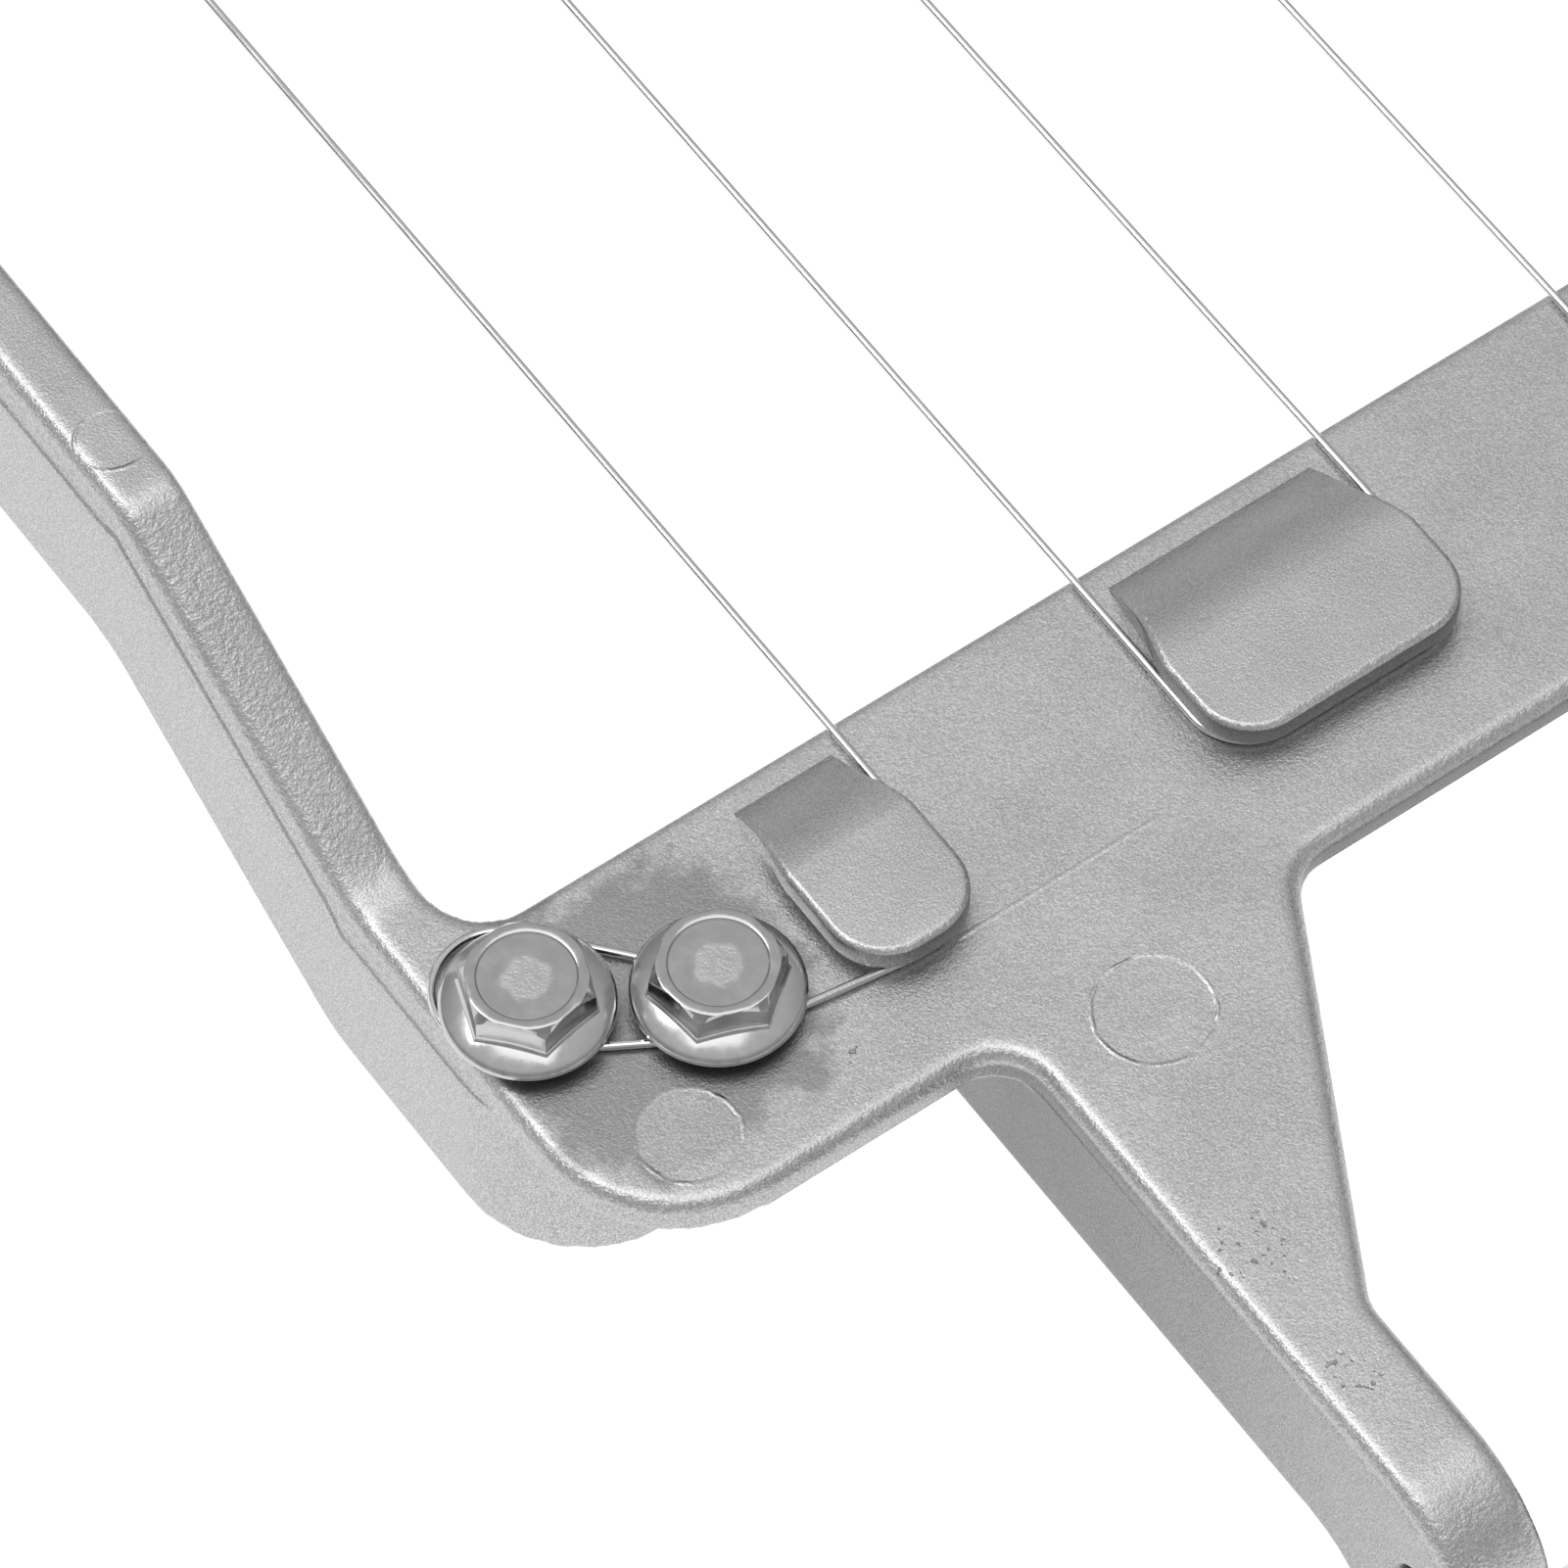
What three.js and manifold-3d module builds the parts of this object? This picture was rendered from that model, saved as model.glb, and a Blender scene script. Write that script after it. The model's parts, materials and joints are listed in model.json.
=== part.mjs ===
// Bench wire slicer for blocks of cheese.
// A hinged cast arm, strung with one long wire, lies folded back behind its slotted bed.
// Millimetres. X runs along the hinge, +Y towards the bed, +Z up, the table is at Z = 0.

import * as THREE from 'three';
import { mergeVertices } from 'three/addons/utils/BufferGeometryUtils.js';
import Module from 'manifold-3d';

const wasm = await Module();
wasm.setup();

// Fits
const gap = 0.3;

// Wire
const wirePitch = 20;
const wirePairs = 4;
const wireRadius = 0.3;
const spanLength = 200;
const tabSpread = 0.4;
const loopRadius = 4.95;
const loopShiftX = 0.1;
const loopShiftY = 2.4;
const tailShiftX = 0.8;
const tailShiftY = 3.5;

// Arm: crossbar plates, rails and the rib under the plates
const plateWidth = 26;
const plateThickness = 2.6;
const railWidth = 5.3;
const railDepth = 17;
const railRise = 15.5;
const rampFoot = 6.5;
const rampRun = 25.5;
const rampSkew = 2;
const cornerRadius = 10.5;
const innerFillet = 4.8;
const ribSetback = 9.4;
const ribCornerRadius = 9.6;
const hingeReach = 19;
const railBend = 8;
const farCorner = 4;
const buried = 0.5;

// Arm: hook tabs that carry the wire
const tabLength = 17;
const tabStart = 1.8;
const tabRampRun = 5.5;
const tabCornerRadius = 4.5;
const lipThickness = 2;
const lipOverhang = 1.3;
const endTabWidth = 11.4;

// Arm: handle prongs and grip
const prongWidth = 7;
const prongDepth = 14.5;
const prongOffset = 0.7;
const prongReach = 48.2;
const elbowRadius = 7.7;
const elbowFillet = 7;
const legWidth = 8.2;
const legDrop = 35;
const legCornerRadius = 3.6;
const gussetWidth = 16;
const gussetLength = 29;
const rootFillet = 4;
const pinHoleBack = 4;
const pinHoleDrop = 10;
const pinHoleRadius = 2.3;
const gripAxisDrop = 25.5;
const gripScrewRadius = 1.5;
const gripScrewDepth = 5;
const gripScrewSink = 0.5;
const socketRadius = 0.9;
const socketDepth = 2;
const gripRodRadius = 2.5;
const gripRadius = 9;
const gripEndRadius = 6.5;
const gripLength = 106;

// Clamp bolts for the wire
const boltFlangeRadius = 5.8;
const boltFlangeThickness = 0.7;
const boltFlangeRise = 1;
const boltAcrossFlats = 8;
const boltHeadHeight = 3.7;
const boltDishRadius = 3.35;
const boltDishDepth = 0.2;
const boltRadius = 2.5;
const boltLength = 11;
const boltPairGap = 0.75;
const boltPairAngle = THREE.MathUtils.degToRad(29);
const outerBoltTurn = THREE.MathUtils.degToRad(-20);
const innerBoltTurn = THREE.MathUtils.degToRad(8);
const boltEdge = 1.2;
const boltToRail = 0.1;
const boltTabGap = 1.5;
const bossRadius = 5;
const bossDepth = 10;

// Hinge
const hingeRodRadius = 3;
const bushWall = 1.7;
const bushFlange = 1;
const bushFlangeRadius = 7.4;
const eyeRadius = 8.5;
const eyeBoss = 2.7;
const lugWidth = 12;
const capRadius = 5;
const capLength = 6;
const capRim = 1;
const capCrown = 2;
const capCrownRadius = 3.5;

// Base
const footHeight = 8;
const coverThickness = 1.2;
const plinthHeight = 16.5;
const plinthWall = 4;
const plinthCorner = 14;
const plinthRear = 10;
const plinthFront = 284;
const plinthOverhang = 4;
const bedClearance = 4;
const bedRise = 5;
const bedWall = 3.5;
const bedCorner = 3;
const slotWidth = 3;
const slotBelowWire = 2.2;
const slotFloor = 3;
const lugFoot = 14;
const lugRound = 8.3;
const footRadius = 10;
const footTread = 8.2;
const footBossRadius = 6;
const footInset = 20;
const screwRadius = 2;
const screwHeadRadius = 3.8;
const screwHeadHeight = 2.2;
const bumperRadius = 6;
const bumperStemRadius = 2.2;
const bumperFromHinge = 200;
const bumperEdge = 1;

// Positions that follow from the sizes above
const wireCount = 2 * wirePairs;
const wireHeight = gap + wireRadius;
const grooveHeight = 2 * gap + 2 * wireRadius;
const tabHeight = grooveHeight + lipThickness;
const lipToWire = lipOverhang - gap - wireRadius;
const tabWidth = wirePitch + tabSpread + 2 * lipToWire;
const tabFront = tabStart + tabLength;
const boltPairSpacing = 2 * boltFlangeRadius + boltPairGap;
const wireEdge = ((wireCount - 1) * wirePitch - tabSpread) / 2;
const endTabX = wireEdge - lipToWire + endTabWidth / 2;
const innerBoltX = endTabX + endTabWidth / 2 + boltTabGap + boltFlangeRadius;
const outerBoltX = innerBoltX + boltPairSpacing * Math.cos(boltPairAngle);
const outerBoltY = -(boltFlangeRadius + boltEdge);
const innerBoltY = outerBoltY - boltPairSpacing * Math.sin(boltPairAngle);
const flangeHeight = grooveHeight;
const railInner = outerBoltX + boltToRail;
const railOuter = railInner + railWidth;
const prongX = wireEdge + prongOffset;
const hingeY = spanLength + plateWidth + hingeReach;
const pivotDrop = railRise - railDepth / 2;
const plateHeight = legDrop;
const hingeZ = plateHeight + pivotDrop;
const tipY = -(plateWidth + prongReach);
const gripY = tipY + legWidth / 2;
const bedNear = hingeY - spanLength + bedClearance;
const bedFar = hingeY - bedClearance;
const bedHalf = railInner - bedClearance;
const closedFace = hingeZ + pivotDrop;
const bedTop = closedFace + bedRise;
const slotBottom = closedFace - wireHeight - wireRadius - slotBelowWire;
const slabBottom = slotBottom - slotFloor;
const plinthBottom = footHeight + coverThickness + gap;
const plinthTop = plinthBottom + plinthHeight;
const plinthHalf = railOuter + plinthOverhang;
const lugOuter = railInner - bushFlange - 2 * gap;
const lugInner = lugOuter - lugWidth;
const eyeOuter = railOuter + eyeBoss;
const sides = [-1, 1];

// The hinge line is the origin of the sizes above, and this puts the middle of the part there
const nearEnd = Math.min(tipY, gripY - gripRadius);
const shiftY = (-hingeY + nearEnd + plinthFront) / -2;

// Outline with rounded corners: each point is [across, along, radius]
function rounded(points) {
  const outline = [];
  points.forEach(([x, y, radius], index) => {
    const corner = new THREE.Vector2(x, y);
    if (!radius) {
      outline.push(corner);
      return;
    }
    const before = points[(index + points.length - 1) % points.length];
    const after = points[(index + 1) % points.length];
    const toBefore = new THREE.Vector2(before[0], before[1]).sub(corner).normalize();
    const toAfter = new THREE.Vector2(after[0], after[1]).sub(corner).normalize();
    const half = Math.acos(THREE.MathUtils.clamp(toBefore.dot(toAfter), -1, 1)) / 2;
    const bisector = toBefore.clone().add(toAfter).normalize();
    const centre = corner.clone().addScaledVector(bisector, radius / Math.sin(half));
    const start = corner.clone().addScaledVector(toBefore, radius / Math.tan(half)).sub(centre);
    const turn = Math.PI - 2 * half;
    const sense = Math.sign(toBefore.cross(toAfter)) * -1;
    const steps = Math.max(2, Math.ceil(turn / 0.32));
    for (let step = 0; step <= steps; step += 1) {
      const spoke = start.clone().rotateAround(new THREE.Vector2(), sense * turn * step / steps);
      outline.push(centre.clone().add(spoke));
    }
  });
  return outline;
}

function mirrored(points) {
  const other = points.map(([x, y, radius]) => [-x, y, radius]).reverse();
  return [...points, ...other];
}

// Plate with an outline in plan, from one height to another
function plate(outline, low, high) {
  const shape = new THREE.Shape(outline);
  const geometry = new THREE.ExtrudeGeometry(shape, { depth: high - low, bevelEnabled: false });
  geometry.translate(0, 0, low);
  return geometry;
}

// Plate with an outline seen from the side, as [along Y, up Z], from one X to another
function sidePlate(outline, left, right) {
  const geometry = plate(outline, left, right);
  const alongY = new THREE.Vector3(0, 1, 0);
  const upZ = new THREE.Vector3(0, 0, 1);
  const acrossX = new THREE.Vector3(1, 0, 0);
  geometry.applyMatrix4(new THREE.Matrix4().makeBasis(alongY, upZ, acrossX));
  return geometry;
}

function block(low, high) {
  const size = high.map((value, axis) => value - low[axis]);
  const geometry = new THREE.BoxGeometry(...size);
  geometry.translate(...low.map((value, axis) => value + size[axis] / 2));
  return geometry;
}

// Turned piece: [radius, height] points round a vertical axis
function turned(points, segments = 24) {
  const profile = points.map(([radius, height]) => new THREE.Vector2(radius, height));
  const geometry = new THREE.LatheGeometry(profile, segments);
  geometry.rotateX(Math.PI / 2);
  return geometry;
}

// Turned piece laid along X, its height growing away from the middle on either side
function turnedAcross(points, side, segments = 24) {
  const geometry = turned(points, segments);
  geometry.rotateY(side * Math.PI / 2);
  return geometry;
}

function rod(radius, low, high, segments = 24) {
  return turned([[0, low], [radius, low], [radius, high], [0, high]], segments);
}

function rodAcross(radius, from, to, segments = 24) {
  const left = Math.min(from, to);
  const right = Math.max(from, to);
  return turnedAcross([[0, left], [radius, left], [radius, right], [0, right]], 1, segments);
}

function moved(geometry, x, y, z) {
  geometry.translate(x, y, z);
  return geometry;
}

// Solids are joined and cut as closed meshes
function toSolid(geometry) {
  const bare = geometry.clone();
  bare.deleteAttribute('normal');
  bare.deleteAttribute('uv');
  const merged = mergeVertices(bare, 1e-4);
  const mesh = new wasm.Mesh({
    numProp: 3,
    vertProperties: new Float32Array(merged.attributes.position.array),
    triVerts: new Uint32Array(merged.index.array),
  });
  return new wasm.Manifold(mesh);
}

function join(geometries) {
  return geometries.map(toSolid).reduce((sum, solid) => sum.add(solid));
}

function cut(solid, geometries) {
  return geometries.map(toSolid).reduce((rest, tool) => rest.subtract(tool), solid);
}

function toGeometry(solid) {
  const mesh = solid.getMesh();
  const geometry = new THREE.BufferGeometry();
  geometry.setAttribute('position', new THREE.BufferAttribute(new Float32Array(mesh.vertProperties), 3));
  geometry.setIndex(new THREE.BufferAttribute(new Uint32Array(mesh.triVerts), 1));
  geometry.computeVertexNormals();
  return geometry;
}

const part = new THREE.Group();
part.name = 'wire_slicer';

function addPiece(name, geometry, color, metalness, roughness) {
  const material = new THREE.MeshStandardMaterial({ color, metalness, roughness });
  const mesh = new THREE.Mesh(geometry, material);
  mesh.name = name;
  mesh.geometry.translate(0, shiftY, 0);
  part.add(mesh);
}

const castAluminium = [0xb9babb, 0.9, 0.55];
const paleSteel = [0xc9cacc, 1, 0.3];
const darkSteel = [0x2c2c2e, 0.9, 0.45];
const blackRubber = [0x1f1f20, 0, 0.85];
const blackPlastic = [0x232325, 0, 0.5];
const whiteNylon = [0xe4e2dc, 0, 0.5];

// Arm pieces are drawn round the near crossbar: its inner edge is Y = 0, its bolted face Z = 0
function onArm(geometry) {
  return moved(geometry, 0, -hingeY, plateHeight);
}

// One hook tab: a ramp facing the wires, a post the wire turns round, a lip that keeps it down
function hookTab(x, width, edgeY, facing) {
  const half = width / 2;
  const post = half - lipOverhang;
  const top = tabStart + tabRampRun;
  const shoulder = top + 2 * lipOverhang;
  const lip = mirrored([
    [-post, -top, 0],
    [-half, -shoulder, 1],
    [-half, -tabFront, tabCornerRadius],
  ]);
  const core = mirrored([
    [-post, -top, 0],
    [-post, -tabFront + lipOverhang, tabCornerRadius - lipOverhang],
  ]);
  const ramp = rounded([
    [-tabStart, -buried, 0],
    [-tabStart, 0, 0],
    [-top, tabHeight, 0],
    [-shoulder, tabHeight, 0],
    [-shoulder, -buried, 0],
  ]);
  const pieces = [
    plate(rounded(lip), grooveHeight, tabHeight),
    plate(rounded(core), -buried, grooveHeight + buried),
    sidePlate(ramp, -post, post),
  ];
  pieces.forEach((geometry) => {
    if (facing > 0) geometry.rotateZ(Math.PI);
    geometry.translate(x, edgeY, 0);
  });
  return pieces;
}

// Arm casting: near crossbar with prongs, far crossbar, two rails with hinge eyes, tabs
function armFrame() {
  const nearPlate = mirrored([
    [-railInner, rampFoot + 1, 0],
    [-railOuter, rampFoot + 1, 0],
    [-railOuter, -plateWidth, cornerRadius],
    [-prongX - prongWidth / 2, -plateWidth, rootFillet],
    [-prongX - prongWidth / 2, tipY + elbowRadius, 0],
    [-prongX + prongWidth / 2, tipY + elbowRadius, 0],
    [-prongX + prongWidth / 2, -plateWidth - gussetLength, rootFillet],
    [-prongX + prongWidth / 2 + gussetWidth, -plateWidth, rootFillet],
  ]);
  const window = mirrored([[-railInner, 0, innerFillet], [-railInner, 2 * rampFoot, 0]]);
  const farPlate = mirrored([
    [-railOuter, spanLength, farCorner],
    [-railOuter, spanLength + plateWidth, farCorner],
  ]);
  const rib = mirrored([
    [-railInner, rampFoot, 0],
    [-railOuter, rampFoot, 0],
    [-railOuter, ribSetback - plateWidth, ribCornerRadius],
  ]);
  const ribInside = mirrored([
    [-railInner, rampFoot + 1, 0],
    [-railInner, ribSetback - plateWidth + railWidth, ribCornerRadius - railWidth],
  ]);
  const nearRib = toGeometry(cut(toSolid(plate(rounded(rib), -railDepth, -buried)),
    [plate(rounded(ribInside), -railDepth - 1, 0)]));
  const farRibY = spanLength + plateWidth - ribSetback;
  const pieces = [
    toGeometry(cut(toSolid(plate(rounded(nearPlate), -plateThickness, 0)),
      [plate(rounded(window), -plateThickness - 1, 1)])),
    plate(rounded(farPlate), -plateThickness, 0),
    nearRib,
    block([-railOuter, farRibY - railWidth, -railDepth], [railOuter, farRibY, -buried]),
  ];
  const railBottom = railRise - railDepth;
  const rail = rounded([
    [hingeY, railRise, 0],
    [rampFoot + rampRun, railRise, railBend],
    [rampFoot, 0, railBend],
    [-1, 0, 0],
    [-1, -railDepth, 0],
    [rampFoot + rampSkew, -railDepth, railBend],
    [rampFoot + rampRun + rampSkew, railBottom, railBend],
    [spanLength - farCorner, railBottom, 0],
    [spanLength, -plateThickness, 0],
    [spanLength + plateWidth - farCorner, -plateThickness, 0],
    [spanLength + plateWidth, railBottom, 0],
    [hingeY, railBottom, 0],
  ]);
  const prong = rounded([
    [ribSetback - plateWidth + 1, 0, 0],
    [ribSetback - plateWidth + 1, -prongDepth, 0],
    [tipY + legWidth, -prongDepth, elbowFillet],
    [tipY + legWidth, -legDrop, legCornerRadius],
    [tipY, -legDrop, legCornerRadius],
    [tipY, 0, elbowRadius],
  ]);
  const holes = [];
  sides.forEach((side) => {
    const railX = side * (railInner + railWidth / 2);
    pieces.push(sidePlate(rail, railX - railWidth / 2, railX + railWidth / 2));
    const eye = rodAcross(eyeRadius, side * railInner, side * eyeOuter);
    pieces.push(moved(eye, 0, hingeY, pivotDrop));
    pieces.push(sidePlate(prong, side * prongX - prongWidth / 2, side * prongX + prongWidth / 2));
    pieces.push(...hookTab(side * endTabX, endTabWidth, 0, -1));
    const bolts = [[outerBoltX, outerBoltY], [innerBoltX, innerBoltY]];
    bolts.forEach(([x, y]) => {
      pieces.push(moved(rod(bossRadius, -bossDepth, -buried), side * x, y, 0));
      holes.push(moved(rod(boltRadius + gap, -railDepth - 1, 1, 16), side * x, y, 0));
    });
    const bushHole = hingeRodRadius + bushWall + 2 * gap;
    const screwHole = gripScrewRadius + gap;
    const through = [railInner - 1, eyeOuter + 1];
    holes.push(moved(rodAcross(bushHole, side * through[0], side * through[1]), 0, hingeY, pivotDrop));
    const prongSide = [side * prongX - prongWidth, side * prongX + prongWidth];
    holes.push(moved(rodAcross(screwHole, ...prongSide, 16), 0, gripY, -gripAxisDrop));
    holes.push(moved(rodAcross(pinHoleRadius, ...prongSide, 16), 0, tipY + pinHoleBack, -pinHoleDrop));
  });
  for (let tab = 1; tab < wirePairs; tab += 1) {
    pieces.push(...hookTab((tab - wirePairs / 2) * 2 * wirePitch, tabWidth, 0, -1));
  }
  for (let tab = 0; tab < wirePairs; tab += 1) {
    pieces.push(...hookTab((tab - (wirePairs - 1) / 2) * 2 * wirePitch, tabWidth, spanLength, 1));
  }
  return onArm(toGeometry(cut(join(pieces), holes)));
}

// The wire's route is a line pulled round circles: [x, y, radius, +1 left turn or -1 right turn]
function pulledRound(circles) {
  const route = [];
  const leaving = [];
  const arriving = [];
  for (let index = 0; index + 1 < circles.length; index += 1) {
    const [ax, ay, ar, aTurn] = circles[index];
    const [bx, by, br, bTurn] = circles[index + 1];
    const across = Math.hypot(bx - ax, by - ay);
    const heading = Math.atan2(by - ay, bx - ax);
    const tilt = Math.asin((aTurn * ar - bTurn * br) / across);
    leaving[index] = heading + tilt - aTurn * Math.PI / 2;
    arriving[index + 1] = heading + tilt - bTurn * Math.PI / 2;
  }
  circles.forEach(([x, y, radius, turn], index) => {
    if (radius === 0) {
      route.push(new THREE.Vector3(x, y, wireHeight));
      return;
    }
    const from = arriving[index];
    const full = 2 * Math.PI;
    const sweep = (((leaving[index] - from) * turn) % full + full) % full;
    const steps = Math.max(1, Math.ceil(sweep / 0.35));
    for (let step = 0; step <= steps; step += 1) {
      const angle = from + turn * sweep * step / steps;
      route.push(new THREE.Vector3(x + radius * Math.cos(angle), y + radius * Math.sin(angle), wireHeight));
    }
  });
  return route;
}

// Curve that visits each route point in turn, so that one extrusion step ends at each of them
class Route extends THREE.Curve {
  constructor(points) {
    super();
    this.points = points;
  }

  getPoint(t, target = new THREE.Vector3()) {
    const place = t * (this.points.length - 1);
    const index = Math.min(Math.floor(place), this.points.length - 2);
    return target.lerpVectors(this.points[index], this.points[index + 1], place - index);
  }

  getPointAt(u, target) {
    return this.getPoint(u, target);
  }

  getTangentAt(u) {
    const place = Math.round(u * (this.points.length - 1));
    const before = this.points[Math.max(place - 1, 0)];
    const here = this.points[place];
    const after = this.points[Math.min(place + 1, this.points.length - 1)];
    const arrive = here.clone().sub(before).normalize();
    const leave = after.clone().sub(here).normalize();
    return arrive.add(leave).normalize();
  }
}

// One continuous wire: clamped at both near corners, zigzagging between the two crossbars
function cuttingWire() {
  const turnRadius = tabCornerRadius - lipToWire;
  const shankTurn = boltRadius + gap + wireRadius;
  const tabTurns = (x, width, edgeY, facing) => {
    const offset = width / 2 - tabCornerRadius;
    const y = edgeY + facing * (tabFront - tabCornerRadius);
    return [[x - offset, y, turnRadius, -facing], [x + offset, y, turnRadius, -facing]];
  };
  const start = [
    [-innerBoltX - tailShiftX, innerBoltY + tailShiftY, 0, 1],
    [-outerBoltX + loopShiftX, outerBoltY + loopShiftY, loopRadius, 1],
    [-outerBoltX, outerBoltY, shankTurn, 1],
    [-innerBoltX, innerBoltY, shankTurn, 1],
    ...tabTurns(-endTabX, endTabWidth, 0, -1),
  ];
  const middle = [];
  for (let tab = 0; tab < wirePairs; tab += 1) {
    middle.push(...tabTurns((tab - (wirePairs - 1) / 2) * 2 * wirePitch, tabWidth, spanLength, 1));
    if (tab < wirePairs - 1) {
      middle.push(...tabTurns((tab + 1 - wirePairs / 2) * 2 * wirePitch, tabWidth, 0, -1));
    }
  }
  const end = start.map(([x, y, radius, turn]) => [-x, y, radius, turn]).reverse();
  const route = pulledRound([...start, ...middle, ...end]);
  const section = new THREE.Shape();
  section.absarc(0, 0, wireRadius, 0, 2 * Math.PI);
  const geometry = new THREE.ExtrudeGeometry(section, {
    steps: route.length - 1,
    curveSegments: 4,
    extrudePath: new Route(route),
  });
  return onArm(geometry);
}

// Hexagon bolt with a pressed flange and a dished head; its flange bears on the wire
function clampBolt(x, y, turn) {
  const corner = boltAcrossFlats / 2 / Math.cos(Math.PI / 6);
  const headTop = flangeHeight + boltHeadHeight;
  const headBase = flangeHeight + boltFlangeThickness / 2;
  const coneTop = flangeHeight + boltFlangeThickness + boltFlangeRise;
  const hexagon = new THREE.CylinderGeometry(corner, corner, headTop - headBase, 6);
  hexagon.rotateX(Math.PI / 2);
  hexagon.rotateZ(turn);
  hexagon.translate(0, 0, (headBase + headTop) / 2);
  const body = turned([
    [0, flangeHeight - boltLength],
    [boltRadius, flangeHeight - boltLength],
    [boltRadius, flangeHeight],
    [boltFlangeRadius, flangeHeight],
    [boltFlangeRadius, flangeHeight + boltFlangeThickness],
    [boltAcrossFlats / 2, coneTop],
    [0, coneTop],
  ]);
  const dish = rod(boltDishRadius, headTop - boltDishDepth, headTop + boltDishDepth);
  const bolt = toGeometry(cut(join([hexagon, body]), [dish]));
  return onArm(moved(bolt, x, y, 0));
}

addPiece('arm_frame', armFrame(), ...castAluminium);
addPiece('cutting_wire', cuttingWire(), ...paleSteel);
sides.forEach((side) => {
  const hand = side < 0 ? 'left' : 'right';
  const outerBolt = clampBolt(side * outerBoltX, outerBoltY, -side * outerBoltTurn);
  const innerBolt = clampBolt(side * innerBoltX, innerBoltY, -side * innerBoltTurn);
  addPiece(`clamp_bolt_outer_${hand}`, outerBolt, ...paleSteel);
  addPiece(`clamp_bolt_inner_${hand}`, innerBolt, ...paleSteel);
});

// Grip: a steel rod between the prongs, held by a set screw at each end, in a barrel sleeve
const gripFace = prongX - prongWidth / 2 - gap;
const screwMouth = prongX + prongWidth / 2 - gripScrewSink;
const screwTip = gripFace - gripScrewDepth;

function gripRod() {
  const bar = toSolid(rodAcross(gripRodRadius, -gripFace, gripFace));
  const ends = sides.map((side) => {
    const bore = [side * (gripFace + 1), side * (screwTip - gap)];
    return rodAcross(gripScrewRadius + gap, ...bore, 16);
  });
  return onArm(moved(toGeometry(cut(bar, ends)), 0, gripY, -gripAxisDrop));
}

function gripSleeve() {
  const inner = gripRodRadius + gap;
  const half = gripLength / 2;
  const outside = [];
  const stations = 10;
  for (let step = 0; step <= stations; step += 1) {
    const along = -half + gripLength * step / stations;
    const swell = Math.sqrt(Math.max(0, 1 - Math.abs(along / half) ** 4));
    outside.push([gripEndRadius + (gripRadius - gripEndRadius) * swell, along]);
  }
  const profile = [[inner, -half], ...outside, [inner, half], [inner, -half]];
  return onArm(moved(turnedAcross(profile, 1), 0, gripY, -gripAxisDrop));
}

function gripScrew(side) {
  const screw = toSolid(rodAcross(gripScrewRadius, side * screwTip, side * screwMouth, 16));
  const socket = new THREE.CylinderGeometry(socketRadius, socketRadius, 2 * socketDepth, 6);
  socket.rotateZ(Math.PI / 2);
  socket.translate(side * screwMouth, 0, 0);
  return onArm(moved(toGeometry(cut(screw, [socket])), 0, gripY, -gripAxisDrop));
}

addPiece('grip_rod', gripRod(), ...paleSteel);
addPiece('grip_sleeve', gripSleeve(), ...blackPlastic);
addPiece('grip_screw_left', gripScrew(-1), ...darkSteel);
addPiece('grip_screw_right', gripScrew(1), ...darkSteel);

// Base casting: plinth, slotted bed standing on it, two hinge lugs, all hollow from below
const feet = [
  ['front_left', -plinthHalf + footInset, plinthFront - footInset],
  ['front_right', plinthHalf - footInset, plinthFront - footInset],
  ['rear_left', -plinthHalf + footInset, -plinthRear + footInset],
  ['rear_right', plinthHalf - footInset, -plinthRear + footInset],
];
const screwTop = plinthTop - plinthWall;

function rectangle(half, near, far, radius) {
  return rounded([[-half, near, radius], [half, near, radius], [half, far, radius], [-half, far, radius]]);
}

function baseCasting() {
  const plinth = rectangle(plinthHalf, -plinthRear, plinthFront, plinthCorner);
  const hollow = rectangle(
    plinthHalf - plinthWall, -plinthRear + plinthWall, plinthFront - plinthWall, plinthCorner - plinthWall);
  const bed = rectangle(bedHalf, bedNear, bedFar, bedCorner);
  const bedHollow = rectangle(bedHalf - bedWall, bedNear + bedWall, bedFar - bedWall, 0);
  const lug = rounded([
    [-eyeRadius, plinthTop - 1, 0],
    [eyeRadius + lugFoot, plinthTop - 1, 0],
    [eyeRadius, hingeZ - eyeRadius / 2, 0],
    [eyeRadius, hingeZ + eyeRadius, lugRound],
    [-eyeRadius, hingeZ + eyeRadius, lugRound],
  ]);
  const shell = cut(
    join([plate(plinth, plinthBottom, plinthTop), plate(bed, plinthTop - 1, bedTop)]),
    [
      plate(hollow, plinthBottom - 1, plinthTop - plinthWall),
      plate(bedHollow, plinthBottom - 1, slabBottom),
    ],
  );
  const added = feet.map(([, x, y]) => moved(rod(footBossRadius, plinthBottom, plinthTop - 1), x, y, 0));
  sides.forEach((side) => {
    const edges = [side * lugInner, side * lugOuter].sort((a, b) => a - b);
    added.push(sidePlate(lug, ...edges));
  });
  const screwHole = screwRadius + gap;
  const holes = feet.map(([, x, y]) => moved(rod(screwHole, plinthBottom - 1, screwTop + gap, 16), x, y, 0));
  sides.forEach((side) => {
    const bore = rodAcross(hingeRodRadius + gap, side * (lugInner - 1), side * (lugOuter + 1));
    holes.push(moved(bore, 0, 0, hingeZ));
    const stem = rod(bumperStemRadius + gap, plinthTop - plinthWall - 1, plinthTop + 1, 16);
    holes.push(moved(stem, side * (railInner + railWidth / 2), bumperFromHinge, 0));
  });
  for (let wire = 0; wire < wireCount; wire += 1) {
    const x = (wire - (wireCount - 1) / 2) * wirePitch;
    const low = [x - slotWidth / 2, bedNear - 1, slotBottom];
    holes.push(block(low, [x + slotWidth / 2, bedFar + 1, bedTop + 1]));
  }
  return toGeometry(cut(shell.add(join(added)), holes));
}

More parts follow.
